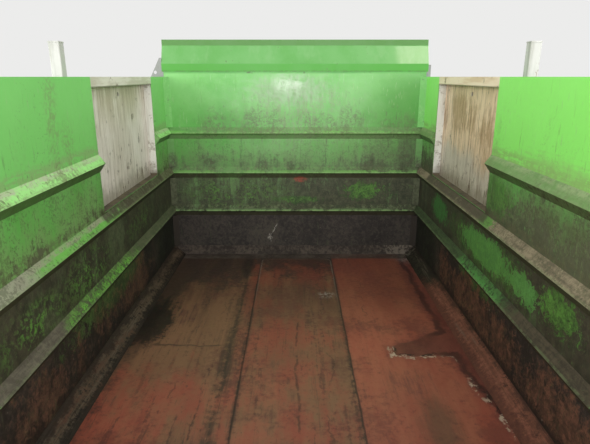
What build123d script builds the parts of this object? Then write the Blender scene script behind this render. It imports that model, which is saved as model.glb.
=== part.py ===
from build123d import *
from math import atan2, cos, degrees, hypot, radians, tan
import os

os.makedirs("parts", exist_ok=True)

# Tipping tub of a small refuse truck, on the subframe that it tips on.
# Millimetres. +Z is up, +Y is towards the cab, +X is the right hand side.
# The tub opens at the top. Its front wall is at +Y and the loading chute at -Y.
# The origin is on the ground, under the middle of the whole part.

# Load space
inner_width = 1600.0
wall_height = 1140.0
floor_length = 2050.0
chute_run = 620.0
chute_angle = 38.0
wall_sheet = 3.0
floor_sheet = 4.0

# Pressed ridges in the front and side walls, heights above the floor
ridge_levels = (300.0, 550.0, 800.0)
ridge_depth = 26.0
ridge_half_height = 36.0
ridge_cap = 3.0

# Side hatches, placed from the front wall
notch_from_front = 300.0
notch_length = 850.0
sill_height = 590.0
leaf_overlap = 30.0
leaf_sheet = 3.0
leaf_bar = 25.0
leaf_gap = 0.5
leaf_top_drop = 5.0
leaf_bottom_overlap = 25.0
finger_hole_radius = 11.0
finger_hole_drop = 80.0
finger_cup_size = 60.0
finger_cup_depth = 22.0
finger_cup_sheet = 3.0

# Tubes and rails
rail = 40.0
post_size = 40.0
post_rise = 120.0
post_behind_notch = 100.0
lower_rail_rise = 20.0
upright_foot = 80.0
upright_crown = 50.0
cheek_rim = 60.0
cheek_rail_size = 30.0
cheek_rail_drop = 42.0
edge_radius = 4.0

# Headboard over the front wall
front_rise = 20.0
headboard_joint = 10.0
headboard_band = 46.0
headboard_face = 107.0
headboard_lip = 34.0
headboard_lean = 43.0
headboard_return = 27.0
headboard_hem = 15.0
headboard_overhang = 9.0
top_rail_rise = 70.0
bracket_width = 25.0
bracket_sheet = 6.0
eye_plate_foot = 78.0
eye_plate_crown = 12.0
eye_plate_rise = 110.0
eye_radius = 10.0
eye_out = 50.0
eye_rise = 26.0
rib_sheet = 5.0
rib_inset = 120.0

# Floor details
cover_left = -215.0
cover_right = 232.0
cover_from_front = 110.0
cover_corner = 60.0
cover_sheet = 3.0
strip_width = 56.0
strip_gap = 3.0
strip_from_front = 420.0
kick_rise = 55.0
kick_side_foot = 70.0
kick_front_foot = 25.0
kick_sheet = 4.0
corner_strip_wide = 32.0
corner_strip_sheet = 4.0

# Underframe of the tub
runner_centre = 370.0
runner_width = 60.0
runner_height = 80.0
bearer_width = 80.0
bearer_height = 50.0
bearer_sheet = 4.0
bearer_first = 60.0
bearer_pitch = 360.0
bearer_count = 6
gusset_sheet = 8.0
lip_beam_depth = 50.0
lip_beam_height = 80.0
gusset_setback = 10.0
cheek_upstand = 60.0
lifter_bolt_radius = 8.5
lifter_bolt_x = 1200.0
lifter_bolt_z = 40.0

# Subframe
subframe_height = 100.0
subframe_sheet = 5.0
pad_height = 10.0
seat_gap = 0.3
cross_member_width = 60.0
hinge_ahead_of_rear = 140.0
hinge_pin_radius = 20.0
hinge_play = 1.0
hinge_plate = 12.0
hinge_plate_half = 38.0
pin_head = 4.0
pin_clearance = 0.05
foot_length = 100.0
foot_width = 80.0
foot_sheet = 8.0
foot_web_height = 70.0
foot_bolt_radius = 8.5
foot_inset = 260.0

# Tipping ram
ram_base_ahead = 150.0
ram_base_drop = 75.0
ram_barrel_radius = 38.0
ram_barrel_start = 60.0
ram_barrel_end = 560.0
ram_rod_radius = 20.0
ram_rod_start = 110.0
ram_eye_radius = 30.0
ram_eye_width = 50.0
ram_pin_radius = 15.0
ram_neck = 24.0
ram_port_radius = 12.0
ram_port_reach = 12.0
ram_port_along = 95.0
clevis_plate = 10.0
clevis_play = 0.5
clevis_radius = 34.0
base_plate_height = 50.0

# Hatch hinges
hatch_pin_radius = 6.0
knuckle_radius = 11.0
knuckle_length = 50.0
knuckle_drop = 15.0
lug_sheet = 8.0
lug_play = 0.5
strap_sheet = 6.0
strap_rise = 60.0
hinge_inset = 130.0

# Levels
runner_bottom = subframe_height + pad_height + seat_gap
runner_top = runner_bottom + runner_height
floor_bottom = runner_top + bearer_height
floor_top = floor_bottom + floor_sheet
rim = floor_top + wall_height
sill = floor_top + sill_height
hinge_z = runner_bottom + runner_height / 2

# Stations along the part
headboard_reach = wall_sheet + headboard_lean + headboard_return
overall_length = headboard_reach + floor_length + chute_run + lip_beam_depth
front = overall_length / 2 - headboard_reach
rear = -overall_length / 2
chute_foot = front - floor_length
chute_top = chute_foot - chute_run
chute_rise = chute_run * tan(radians(chute_angle))
chute_edge = floor_top + chute_rise
chute_thickness = floor_sheet / cos(radians(chute_angle))
notch_front = front - notch_from_front
notch_rear = notch_front - notch_length
hinge_y = rear + hinge_ahead_of_rear
front_out = front + wall_sheet
bearer_stations = [chute_foot + bearer_first + bearer_pitch * i for i in range(bearer_count)]

# Offsets from the centre plane
half = inner_width / 2
wall_out = half + wall_sheet
rail_out = wall_out + rail
headboard_half_width = wall_out + headboard_overhang

# The ram runs from its base pivot on the subframe to the second cross bearer
ram_base_y = hinge_y + ram_base_ahead
ram_base_z = hinge_z - ram_base_drop
ram_eye_y = bearer_stations[1]
ram_eye_z = hinge_z
ram_length = hypot(ram_eye_y - ram_base_y, ram_eye_z - ram_base_z)
ram_rise = degrees(atan2(ram_eye_z - ram_base_z, ram_eye_y - ram_base_y))
ram_plane = Plane(
    origin=(0, ram_base_y, ram_base_z),
    x_dir=(1, 0, 0),
    z_dir=(0, ram_eye_y - ram_base_y, ram_eye_z - ram_base_z),
)

# Hatch hinge axis
leaf_inner = rail_out + leaf_gap
leaf_outer = leaf_inner + leaf_sheet + leaf_bar
leaf_bottom = sill - leaf_bottom_overlap
leaf_top = rim - leaf_top_drop
hatch_axis_x = leaf_outer + strap_sheet / 2
hatch_axis_z = leaf_bottom - knuckle_drop

sub_parts = {}


def keep(sub_part, label):
    """Give a finished sub-part its label and set it aside for writing."""
    sub_part.part.label = label
    sub_parts[label] = sub_part.part


def keep_pair(sub_part, label):
    """Keep a right hand sub-part and its mirror image on the left."""
    with BuildPart() as left:
        mirror(sub_part.part, about=Plane.YZ)
    keep(sub_part, label + "_right")
    keep(left, label + "_left")


def both_sides(sub_part, label):
    """Keep a sub-part and its mirror image together as one node."""
    with BuildPart() as pair:
        add(sub_part.part)
        mirror(sub_part.part, about=Plane.YZ)
    keep(pair, label)


def cross_plane(y):
    """An upright plane across the part at station y. Extrusions run rearwards."""
    return Plane.XZ.offset(-y)


def long_plane(x):
    """An upright plane along the part at offset x. Extrusions run to the right."""
    return Plane.YZ.offset(x)


def ridge_face(flat, bottom, top):
    """Points up a pressed wall, as (distance, height), with a V at each ridge."""
    points = [(flat, bottom)]
    for level in ridge_levels:
        z = floor_top + level
        points.append((flat, z - ridge_half_height))
        points.append((flat - ridge_depth, z))
        points.append((flat, z + ridge_half_height))
    points.append((flat, top))
    return points


def pressed_section(flat, bottom, top):
    """Closed outline of a pressed wall sheet whose inner flats stand at flat."""
    inner = ridge_face(flat, bottom, top)
    outer = [(d + wall_sheet, z) for d, z in inner]
    return inner + outer[::-1]


def bent_sheet(face, thickness):
    """Closed outline of a bent sheet: the points of one face, and the other face to their right."""
    normals = []
    for (d0, z0), (d1, z1) in zip(face, face[1:]):
        run = hypot(d1 - d0, z1 - z0)
        normals.append(((z1 - z0) / run, (d0 - d1) / run))
    starts = normals[:1] + normals
    ends = normals + normals[-1:]
    other_face = []
    for (d, z), (ad, az), (bd, bz) in zip(face, starts, ends):
        reach = thickness / (1 + ad * bd + az * bz)
        other_face.append((d + reach * (ad + bd), z + reach * (az + bz)))
    return face + other_face[::-1]


def ridge_cap_outline(level):
    """The triangle that closes the hollow back of a ridge at its cut end."""
    z = floor_top + level
    return [
        (wall_out, z - ridge_half_height),
        (wall_out - ridge_depth, z),
        (wall_out, z + ridge_half_height),
    ]


# Side walls, one pressed sheet each, mitred into the front wall
with BuildPart() as side_wall:
    with BuildSketch(cross_plane(front_out)):
        Polygon(*pressed_section(half, floor_bottom, rim), align=None)
    extrude(amount=floor_length + wall_sheet)
    split(bisect_by=Plane(origin=(half, front, 0), z_dir=(1, -1, 0)), keep=Keep.TOP)
    with BuildSketch(long_plane(half - 2 * ridge_depth)):
        with Locations((notch_rear, sill)):
            Rectangle(notch_length, wall_height, align=(Align.MIN, Align.MIN))
    extrude(amount=3 * ridge_depth, mode=Mode.SUBTRACT)
    for station, levels in (
        (chute_foot + ridge_cap, ridge_levels),
        (notch_rear, ridge_levels[2:]),
        (notch_front + ridge_cap, ridge_levels[2:]),
    ):
        for level in levels:
            with BuildSketch(cross_plane(station)):
                Polygon(*ridge_cap_outline(level), align=None)
            extrude(amount=ridge_cap)
keep_pair(side_wall, "side_wall")

# Front wall, the same pressed sheet across the tub
with BuildPart() as front_wall:
    with BuildSketch(long_plane(-wall_out)):
        Polygon(*pressed_section(front, floor_bottom, rim + front_rise), align=None)
    extrude(amount=2 * wall_out)
    split(bisect_by=Plane(origin=(half, front, 0), z_dir=(-1, 1, 0)), keep=Keep.TOP)
    split(bisect_by=Plane(origin=(-half, front, 0), z_dir=(1, 1, 0)), keep=Keep.TOP)
keep(front_wall, "front_wall")

# Narrow closing strips up the two front corners, broken at the ridges
strip_spans = []
strip_start = floor_top + kick_rise
for level in ridge_levels:
    strip_spans.append((strip_start, floor_top + level - ridge_half_height))
    strip_start = floor_top + level + ridge_half_height
strip_spans.append((strip_start, rim))
with BuildPart() as corner_strips:
    for bottom, top in strip_spans:
        with BuildSketch(Plane.XY.offset(bottom)):
            Polygon(
                (half, front - corner_strip_wide),
                (half - corner_strip_wide, front),
                (half - corner_strip_wide + corner_strip_sheet, front),
                (half, front - corner_strip_wide + corner_strip_sheet),
                align=None,
            )
        extrude(amount=top - bottom)
both_sides(corner_strips, "corner_strips")

# Floor plates, meeting on the centre line under the cover plate
with BuildPart() as floor_plate:
    with BuildSketch(Plane.XY.offset(floor_bottom)):
        with Locations((0, chute_foot)):
            Rectangle(half, floor_length, align=(Align.MIN, Align.MIN))
    extrude(amount=floor_sheet)
keep_pair(floor_plate, "floor_plate")

# Wear plate over the middle of the floor, one front corner rounded
with BuildPart() as floor_cover:
    with BuildSketch(Plane.XY.offset(floor_top)) as cover_outline:
        with Locations((cover_left, chute_foot)):
            Rectangle(
                cover_right - cover_left,
                floor_length - cover_from_front,
                align=(Align.MIN, Align.MIN),
            )
        front_left = cover_outline.vertices().group_by(Axis.Y)[-1].sort_by(Axis.X)[0]
        fillet(front_left, radius=cover_corner)
    extrude(amount=cover_sheet)
keep(floor_cover, "floor_cover")

# Patch strip beside the wear plate
with BuildPart() as floor_strip:
    with BuildSketch(Plane.XY.offset(floor_top)):
        with Locations((cover_left - strip_gap, chute_foot)):
            Rectangle(
                strip_width,
                floor_length - strip_from_front,
                align=(Align.MAX, Align.MIN),
            )
    extrude(amount=cover_sheet)
keep(floor_strip, "floor_strip")

# Sloping kick strips along the foot of the side walls
kick_mitre = Plane(origin=(half, front, 0), z_dir=(kick_front_foot, -kick_side_foot, 0))
with BuildPart() as kick_side:
    with BuildSketch(cross_plane(front)):
        Polygon(
            (half, floor_top + kick_rise),
            (half - kick_side_foot, floor_top),
            (half - kick_side_foot + kick_sheet, floor_top),
            (half, floor_top + kick_rise - kick_sheet),
            align=None,
        )
    extrude(amount=floor_length)
    split(bisect_by=kick_mitre, keep=Keep.TOP)
both_sides(kick_side, "kick_sides")

# Kick strip along the foot of the front wall
with BuildPart() as kick_front:
    with BuildSketch(long_plane(-half)):
        Polygon(
            (front, floor_top + kick_rise),
            (front - kick_front_foot, floor_top),
            (front - kick_front_foot + kick_sheet, floor_top),
            (front, floor_top + kick_rise - kick_sheet),
            align=None,
        )
    extrude(amount=inner_width)
    split(bisect_by=kick_mitre, keep=Keep.BOTTOM)
    split(
        bisect_by=Plane(origin=(-half, front, 0), z_dir=(-kick_front_foot, -kick_side_foot, 0)),
        keep=Keep.BOTTOM,
    )
keep(kick_front, "kick_front")

# Headboard, one bent sheet that leans over the cab side
band_foot = rim + front_rise + headboard_joint
band_top = band_foot + headboard_band
face_top = band_top + headboard_face
lip_top = face_top + headboard_lip
lip_front = front + headboard_lean + headboard_return + wall_sheet
bend_drop = wall_sheet * tan(atan2(headboard_lean, headboard_face) / 2)
headboard_line = [
    (front, band_foot),
    (front, band_top),
    (front + headboard_lean, face_top),
    (front + headboard_lean, lip_top),
    (lip_front, lip_top),
    (lip_front, lip_top - headboard_hem),
]
with BuildPart() as headboard:
    with BuildSketch(long_plane(-headboard_half_width)):
        Polygon(*bent_sheet(headboard_line, wall_sheet), align=None)
    extrude(amount=2 * headboard_half_width)
keep(headboard, "headboard")

# Rail behind the top of the front wall, which carries the headboard
with BuildPart() as front_top_rail:
    with BuildSketch(long_plane(-wall_out)):
        with Locations((front_out, rim - rail)):
            Rectangle(rail, rail + top_rail_rise, align=(Align.MIN, Align.MIN))
    extrude(amount=2 * wall_out)
keep(front_top_rail, "front_top_rail")

# End plates of the headboard, a plain one on the right and one with an eye on the left
with BuildPart() as headboard_brackets:
    with BuildSketch(cross_plane(front_out + bracket_sheet)):
        with Locations((wall_out, rim)):
            Rectangle(bracket_width, top_rail_rise, align=(Align.MIN, Align.MIN))
        Polygon(
            (-wall_out, rim),
            (-wall_out, rim + top_rail_rise),
            (-headboard_half_width, rim + top_rail_rise),
            (-headboard_half_width, rim + eye_plate_rise),
            (-headboard_half_width - eye_plate_crown, rim + eye_plate_rise),
            (-wall_out - eye_plate_foot, rim),
            align=None,
        )
        with Locations((-wall_out - eye_out, rim + eye_rise)):
            Circle(eye_radius, mode=Mode.SUBTRACT)
    extrude(amount=bracket_sheet)
keep(headboard_brackets, "headboard_brackets")

# Ribs between the top rail and the back of the headboard
with BuildPart() as headboard_rib:
    for station in (runner_centre / 2, wall_out - rib_inset):
        with BuildSketch(long_plane(station - rib_sheet / 2)):
            Polygon(
                (front_out, rim + top_rail_rise),
                (front_out, band_top - bend_drop),
                (front_out + headboard_lean, face_top - bend_drop),
                (front_out + rail, rim + top_rail_rise),
                align=None,
            )
        extrude(amount=rib_sheet)
both_sides(headboard_rib, "headboard_ribs")

# Top hat uprights on the front wall, over the runners, and square tubes up its ends
with BuildPart() as front_upright:
    with BuildSketch(Plane.XY.offset(floor_bottom)):
        Polygon(
            (runner_centre - upright_foot / 2, front_out),
            (runner_centre + upright_foot / 2, front_out),
            (runner_centre + upright_crown / 2, front_out + rail),
            (runner_centre - upright_crown / 2, front_out + rail),
            align=None,
        )
    extrude(amount=wall_height + floor_sheet - rail)
    with BuildSketch(Plane.XY.offset(floor_bottom + lower_rail_rise)):
        with Locations((wall_out, front_out)):
            Rectangle(rail, rail, align=(Align.MIN, Align.MAX))
    extrude(amount=rim - rail - floor_bottom - lower_rail_rise)
both_sides(front_upright, "front_uprights")

# Rim rails outside the side walls, broken by the hatch frames
with BuildPart() as rim_rail:
    for rear_end, front_end in (
        (chute_foot - cheek_rim, notch_rear - rail),
        (notch_front + rail, front_out),
    ):
        with BuildSketch(cross_plane(front_end)):
            with Locations((wall_out, rim - rail)):
                Rectangle(rail, rail, align=(Align.MIN, Align.MIN))
        extrude(amount=front_end - rear_end)
keep_pair(rim_rail, "rim_rail")

# Hatch frames, sill and two jambs of square tube round the notch
with BuildPart() as hatch_frame:
    with BuildSketch(long_plane(wall_out)):
        with Locations((notch_rear - rail, sill - rail)):
            Rectangle(
                notch_length + 2 * rail,
                rim - sill + rail,
                align=(Align.MIN, Align.MIN),
            )
        with Locations((notch_rear, sill)):
            Rectangle(notch_length, rim - sill, align=(Align.MIN, Align.MIN), mode=Mode.SUBTRACT)
    extrude(amount=rail)
keep_pair(hatch_frame, "hatch_frame")

# Top bars across the notches, flush with the inside of the wall
with BuildPart() as hatch_bar:
    with BuildSketch(cross_plane(notch_front)):
        with Locations((half, rim - rail)):
            Rectangle(rail_out - half, rail, align=(Align.MIN, Align.MIN))
    extrude(amount=notch_length)
keep_pair(hatch_bar, "hatch_bar")

# Square posts outside the walls, behind the hatches
with BuildPart() as side_post:
    with BuildSketch(Plane.XY.offset(floor_bottom - bearer_height)) as post_outline:
        with Locations((rail_out, notch_rear - post_behind_notch)):
            Rectangle(post_size, post_size, align=(Align.MIN, Align.MAX))
        fillet(post_outline.vertices(), radius=edge_radius)
    extrude(amount=rim + post_rise - floor_bottom + bearer_height)
both_sides(side_post, "side_posts")

# Top hat uprights over the joint between side wall and rear cheek
with BuildPart() as rear_upright:
    with BuildSketch(Plane.XY.offset(floor_bottom + lower_rail_rise)):
        Polygon(
            (wall_out, chute_foot - upright_foot / 2),
            (wall_out, chute_foot + upright_foot / 2),
            (rail_out, chute_foot + upright_crown / 2),
            (rail_out, chute_foot - upright_crown / 2),
            align=None,
        )
    extrude(amount=rim - rail - floor_bottom - lower_rail_rise)
both_sides(rear_upright, "rear_uprights")

# Lower rails along the foot of the side walls
with BuildPart() as lower_rail:
    with BuildSketch(cross_plane(front_out)):
        with Locations((wall_out, floor_bottom - bearer_height)):
            Rectangle(rail, bearer_height + lower_rail_rise, align=(Align.MIN, Align.MIN))
    extrude(amount=front_out - chute_foot + upright_foot / 2)
both_sides(lower_rail, "lower_rails")

# Cross bearers under the floor, channels that open downwards
with BuildPart() as cross_bearers:
    for station in bearer_stations:
        with BuildSketch(long_plane(-wall_out)):
            with Locations((station, floor_bottom)):
                Rectangle(bearer_width, bearer_height, align=(Align.CENTER, Align.MAX))
            with Locations((station, floor_bottom - bearer_sheet)):
                Rectangle(
                    bearer_width - 2 * bearer_sheet,
                    bearer_height - bearer_sheet,
                    align=(Align.CENTER, Align.MAX),
                    mode=Mode.SUBTRACT,
                )
        extrude(amount=2 * wall_out)
keep(cross_bearers, "cross_bearers")

# Runners under the bearers, each with the eye of the tipping hinge at its end
with BuildPart() as runner:
    with BuildSketch(long_plane(runner_centre - runner_width / 2)):
        with Locations((hinge_y, runner_bottom)):
            Rectangle(front_out - hinge_y, runner_height, align=(Align.MIN, Align.MIN))
        with Locations((hinge_y, hinge_z)):
            Circle(runner_height / 2)
            Circle(hinge_pin_radius + pin_clearance, mode=Mode.SUBTRACT)
    extrude(amount=runner_width)
both_sides(runner, "runners")

# Loading chute behind the floor
with BuildPart() as chute_plate:
    with BuildSketch(long_plane(-half)):
        Polygon(
            (chute_foot, floor_top),
            (chute_top, chute_edge),
            (chute_top, chute_edge - chute_thickness),
            (chute_foot, floor_top - chute_thickness),
            align=None,
        )
    extrude(amount=inner_width)
keep(chute_plate, "chute_plate")

# Lip beam along the top of the chute, drilled for the bin lifter
with BuildPart() as lip_beam:
    with BuildSketch(cross_plane(chute_top)):
        with Locations((0, chute_edge)):
            Rectangle(inner_width, lip_beam_height, align=(Align.CENTER, Align.MAX))
        with Locations((0, chute_edge - lip_beam_height / 2)):
            with GridLocations(lifter_bolt_x, lifter_bolt_z, 2, 2):
                Circle(lifter_bolt_radius, mode=Mode.SUBTRACT)
    extrude(amount=lip_beam_depth)
keep(lip_beam, "lip_beam")

# Rear cheeks, flat sheets that close the chute at the sides
with BuildPart() as rear_cheek:
    with BuildSketch(long_plane(half)):
        Polygon(
            (chute_foot, floor_bottom),
            (rear, chute_edge - lip_beam_height),
            (rear, chute_edge + cheek_upstand),
            (chute_foot - cheek_rim, rim),
            (chute_foot, rim),
            align=None,
        )
    extrude(amount=wall_sheet)
keep_pair(rear_cheek, "rear_cheek")

# Rails down the sloping edges of the cheeks
with BuildPart() as cheek_rail:
    with BuildSketch(long_plane(wall_out)):
        Polygon(
            (chute_foot - cheek_rim, rim),
            (rear, chute_edge + cheek_upstand),
            (rear, chute_edge + cheek_upstand - cheek_rail_drop),
            (chute_foot - cheek_rim, rim - cheek_rail_drop),
            align=None,
        )
    extrude(amount=cheek_rail_size)
both_sides(cheek_rail, "cheek_rails")

# Gusset plates that carry the chute on the runners
gusset_rear = chute_top + gusset_setback
gusset_top = chute_edge - chute_thickness - (gusset_rear - chute_top) * tan(radians(chute_angle))
with BuildPart() as chute_gusset:
    with BuildSketch(long_plane(runner_centre - gusset_sheet / 2)):
        Polygon(
            (hinge_y - hinge_pin_radius, runner_top),
            (chute_foot, runner_top),
            (chute_foot, floor_top - chute_thickness),
            (gusset_rear, gusset_top),
            align=None,
        )
    extrude(amount=gusset_sheet)
both_sides(chute_gusset, "chute_gussets")

# Ram bracket under the second cross bearer, a clevis round the rod's eye
clevis_inner = ram_eye_width / 2 + clevis_play
with BuildPart() as ram_top_bracket:
    with BuildSketch(long_plane(clevis_inner)):
        with Locations((ram_eye_y, ram_eye_z)):
            Rectangle(bearer_width, runner_top - ram_eye_z, align=(Align.CENTER, Align.MIN))
            Circle(clevis_radius)
    extrude(amount=clevis_plate)
    with BuildSketch(long_plane(clevis_inner + clevis_plate)):
        with Locations((ram_eye_y, ram_eye_z)):
            Circle(ram_pin_radius)
    extrude(amount=pin_head)
both_sides(ram_top_bracket, "ram_top_bracket")

# Hatch hinges on the tub, two lugs and a pin at each place
hatch_hinge_stations = (notch_rear + hinge_inset, notch_front - hinge_inset)
lug_span = knuckle_length + 2 * lug_play
with BuildPart() as hatch_hinge:
    for station in hatch_hinge_stations:
        for lug_front in (station + lug_span / 2 + lug_sheet, station - lug_span / 2):
            with BuildSketch(cross_plane(lug_front)):
                Polygon(
                    (rail_out, sill - rail),
                    (rail_out, leaf_bottom - knuckle_drop + knuckle_radius),
                    (hatch_axis_x, hatch_axis_z + knuckle_radius),
                    (hatch_axis_x, hatch_axis_z - knuckle_radius),
                    align=None,
                )
                with Locations((hatch_axis_x, hatch_axis_z)):
                    Circle(knuckle_radius)
            extrude(amount=lug_sheet)
        with BuildSketch(cross_plane(station + lug_span / 2 + lug_sheet)):
            with Locations((hatch_axis_x, hatch_axis_z)):
                Circle(hatch_pin_radius)
        extrude(amount=lug_span + 2 * lug_sheet)
both_sides(hatch_hinge, "hatch_hinges")

# Hatch leaves, a sheet on a frame of square bar, with a finger hole and a cup behind it
with BuildPart() as hatch_leaf:
    leaf_centre = ((notch_front + notch_rear) / 2, (leaf_top + leaf_bottom) / 2)
    leaf_length = notch_length + 2 * leaf_overlap
    leaf_height = leaf_top - leaf_bottom
    cup_height = rim - finger_hole_drop
    cup_opening = finger_cup_size - 2 * finger_cup_sheet
    with BuildSketch(long_plane(leaf_inner)):
        with Locations(leaf_centre):
            Rectangle(leaf_length, leaf_height)
        with Locations((leaf_centre[0], cup_height)):
            Circle(finger_hole_radius, mode=Mode.SUBTRACT)
    extrude(amount=leaf_sheet)
    with BuildSketch(long_plane(leaf_inner + leaf_sheet)):
        with Locations(leaf_centre):
            Rectangle(leaf_length, leaf_height)
            Rectangle(leaf_length - 2 * leaf_bar, leaf_height - 2 * leaf_bar, mode=Mode.SUBTRACT)
        with Locations((leaf_centre[0], leaf_bottom)):
            Rectangle(
                leaf_bar,
                cup_height - finger_cup_size / 2 - leaf_bottom,
                align=(Align.CENTER, Align.MIN),
            )
    extrude(amount=leaf_bar)
    with BuildSketch(long_plane(leaf_inner + leaf_sheet)):
        with Locations((leaf_centre[0], cup_height)):
            Rectangle(finger_cup_size, finger_cup_size)
    extrude(amount=finger_cup_depth)
    with BuildSketch(long_plane(leaf_inner + leaf_sheet)):
        with Locations((leaf_centre[0], cup_height)):
            Rectangle(cup_opening, cup_opening)
    extrude(amount=finger_cup_depth - finger_cup_sheet, mode=Mode.SUBTRACT)
    for station in hatch_hinge_stations:
        with BuildSketch(cross_plane(station + knuckle_length / 2)):
            with Locations((hatch_axis_x, hatch_axis_z)):
                Rectangle(strap_sheet, knuckle_drop + strap_rise, align=(Align.CENTER, Align.MIN))
                Circle(knuckle_radius)
                Circle(hatch_pin_radius + pin_clearance, mode=Mode.SUBTRACT)
        extrude(amount=knuckle_length)
keep_pair(hatch_leaf, "hatch_leaf")

# Subframe rails, channels that open inwards
subframe_half = runner_width / 2 + hinge_play
subframe_rear = hinge_y - hinge_plate_half
with BuildPart() as subframe_rail:
    with BuildSketch(cross_plane(front_out)):
        with Locations((runner_centre, 0)):
            Rectangle(2 * subframe_half, subframe_height, align=(Align.CENTER, Align.MIN))
        with Locations((runner_centre - subframe_half, subframe_height / 2)):
            Rectangle(
                2 * subframe_half - subframe_sheet,
                subframe_height - 2 * subframe_sheet,
                align=(Align.MIN, Align.CENTER),
                mode=Mode.SUBTRACT,
            )
    extrude(amount=front_out - subframe_rear)
both_sides(subframe_rail, "subframe_rails")

# Cross members between the subframe rails
rear_cross_station = hinge_y + hinge_plate_half + cross_member_width / 2
cross_stations = (rear_cross_station, ram_eye_y + bearer_pitch, front - bearer_pitch)
cross_half = runner_centre + subframe_half - subframe_sheet
with BuildPart() as cross_members:
    for station in cross_stations:
        with BuildSketch(long_plane(-cross_half)):
            with Locations((station, subframe_height / 2)):
                Rectangle(cross_member_width, subframe_height - 2 * subframe_sheet)
        extrude(amount=2 * cross_half)
keep(cross_members, "cross_members")

# Rest pads between subframe and runners
with BuildPart() as rest_pad:
    with BuildSketch(cross_plane(front - rail)):
        with Locations((runner_centre, subframe_height)):
            Rectangle(runner_width, pad_height, align=(Align.CENTER, Align.MIN))
    extrude(amount=front - rail - hinge_y - runner_height)
both_sides(rest_pad, "rest_pads")

# Hinge brackets, two plates on each rail round the runner's eye
with BuildPart() as hinge_bracket:
    for inner_face in (runner_centre - subframe_half - hinge_plate, runner_centre + subframe_half):
        with BuildSketch(long_plane(inner_face)):
            with Locations((hinge_y, subframe_sheet)):
                Rectangle(
                    2 * hinge_plate_half,
                    hinge_z - subframe_sheet,
                    align=(Align.CENTER, Align.MIN),
                )
            with Locations((hinge_y, hinge_z)):
                Circle(hinge_plate_half)
                Circle(hinge_pin_radius + pin_clearance, mode=Mode.SUBTRACT)
        extrude(amount=hinge_plate)
both_sides(hinge_bracket, "hinge_brackets")

# Hinge pins with a round head at each end
pin_half = subframe_half + hinge_plate
with BuildPart() as hinge_pin:
    with BuildSketch(long_plane(runner_centre - pin_half)):
        with Locations((hinge_y, hinge_z)):
            Circle(hinge_pin_radius)
    extrude(amount=2 * pin_half)
    for face in (runner_centre - pin_half - pin_head, runner_centre + pin_half):
        with BuildSketch(long_plane(face)):
            with Locations((hinge_y, hinge_z)):
                Circle(hinge_pin_radius + pin_head)
        extrude(amount=pin_head)
both_sides(hinge_pin, "hinge_pins")

# Base bracket of the ram on the rear cross member, two plates and a pin
bracket_start = rear_cross_station + cross_member_width / 2
with BuildPart() as ram_base_bracket:
    for inner_face in (clevis_inner, -clevis_inner - clevis_plate):
        with BuildSketch(long_plane(inner_face)):
            with Locations((bracket_start, ram_base_z)):
                Rectangle(
                    ram_base_y - bracket_start,
                    base_plate_height,
                    align=(Align.MIN, Align.CENTER),
                )
            with Locations((ram_base_y, ram_base_z)):
                Circle(clevis_radius)
        extrude(amount=clevis_plate)
    with BuildSketch(long_plane(-clevis_inner - clevis_plate)):
        with Locations((ram_base_y, ram_base_z)):
            Circle(ram_pin_radius)
    extrude(amount=2 * (clevis_inner + clevis_plate))
keep(ram_base_bracket, "ram_base_bracket")

# Chassis feet outside the subframe rails, one bolt each
foot_inner = runner_centre + subframe_half
foot_stations = (hinge_y + foot_inset, (hinge_y + front) / 2, front - foot_inset)
with BuildPart() as chassis_foot:
    for station in foot_stations:
        with BuildSketch(Plane.XY):
            with Locations((foot_inner, station)):
                Rectangle(foot_width, foot_length, align=(Align.MIN, Align.CENTER))
            with Locations((foot_inner + foot_width / 2, station)):
                Circle(foot_bolt_radius, mode=Mode.SUBTRACT)
        extrude(amount=foot_sheet)
        with BuildSketch(long_plane(foot_inner)):
            with Locations((station, foot_sheet)):
                Rectangle(foot_length, foot_web_height, align=(Align.CENTER, Align.MIN))
        extrude(amount=foot_sheet)
both_sides(chassis_foot, "chassis_feet")

# Barrel of the tipping ram, bored for its rod, with its oil port below
ram_port_plane = Plane(
    origin=ram_plane.from_local_coords((0, 0, ram_port_along)),
    x_dir=(1, 0, 0),
    z_dir=(0, ram_eye_z - ram_base_z, ram_base_y - ram_eye_y),
)
with BuildPart() as ram_barrel:
    with BuildSketch(ram_plane.offset(ram_barrel_start)):
        Circle(ram_barrel_radius)
    extrude(amount=ram_barrel_end - ram_barrel_start)
    with BuildSketch(ram_plane):
        Rectangle(2 * ram_neck, 2 * ram_neck)
    extrude(amount=ram_barrel_start)
    with BuildSketch(long_plane(-ram_eye_width / 2)):
        with Locations((ram_base_y, ram_base_z)):
            Circle(ram_eye_radius)
    extrude(amount=ram_eye_width)
    with BuildSketch(long_plane(-ram_eye_width)):
        with Locations((ram_base_y, ram_base_z)):
            Circle(ram_pin_radius + pin_clearance)
    extrude(amount=2 * ram_eye_width, mode=Mode.SUBTRACT)
    with BuildSketch(ram_port_plane):
        Circle(ram_port_radius)
    extrude(amount=ram_barrel_radius + ram_port_reach)
    with BuildSketch(ram_plane.offset(ram_rod_start - ram_rod_radius)):
        Circle(ram_rod_radius + pin_clearance)
    extrude(amount=ram_barrel_end, mode=Mode.SUBTRACT)
keep(ram_barrel, "ram_barrel")

# Rod of the tipping ram, with its eye
with BuildPart() as ram_rod:
    with BuildSketch(ram_plane.offset(ram_rod_start)):
        Circle(ram_rod_radius)
    extrude(amount=ram_length - ram_rod_start)
    with BuildSketch(long_plane(-ram_eye_width / 2)):
        with Locations((ram_eye_y, ram_eye_z)):
            Circle(ram_eye_radius)
    extrude(amount=ram_eye_width)
keep(ram_rod, "ram_rod")

for label, shape in sub_parts.items():
    export_step(shape, f"parts/{label}.step")

print("ram closed length", round(ram_length, 2), "rise", round(ram_rise, 3))
print("hinge", round(hinge_y, 2), round(hinge_z, 2), "front", round(front, 2), "rim", round(rim, 2))
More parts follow.
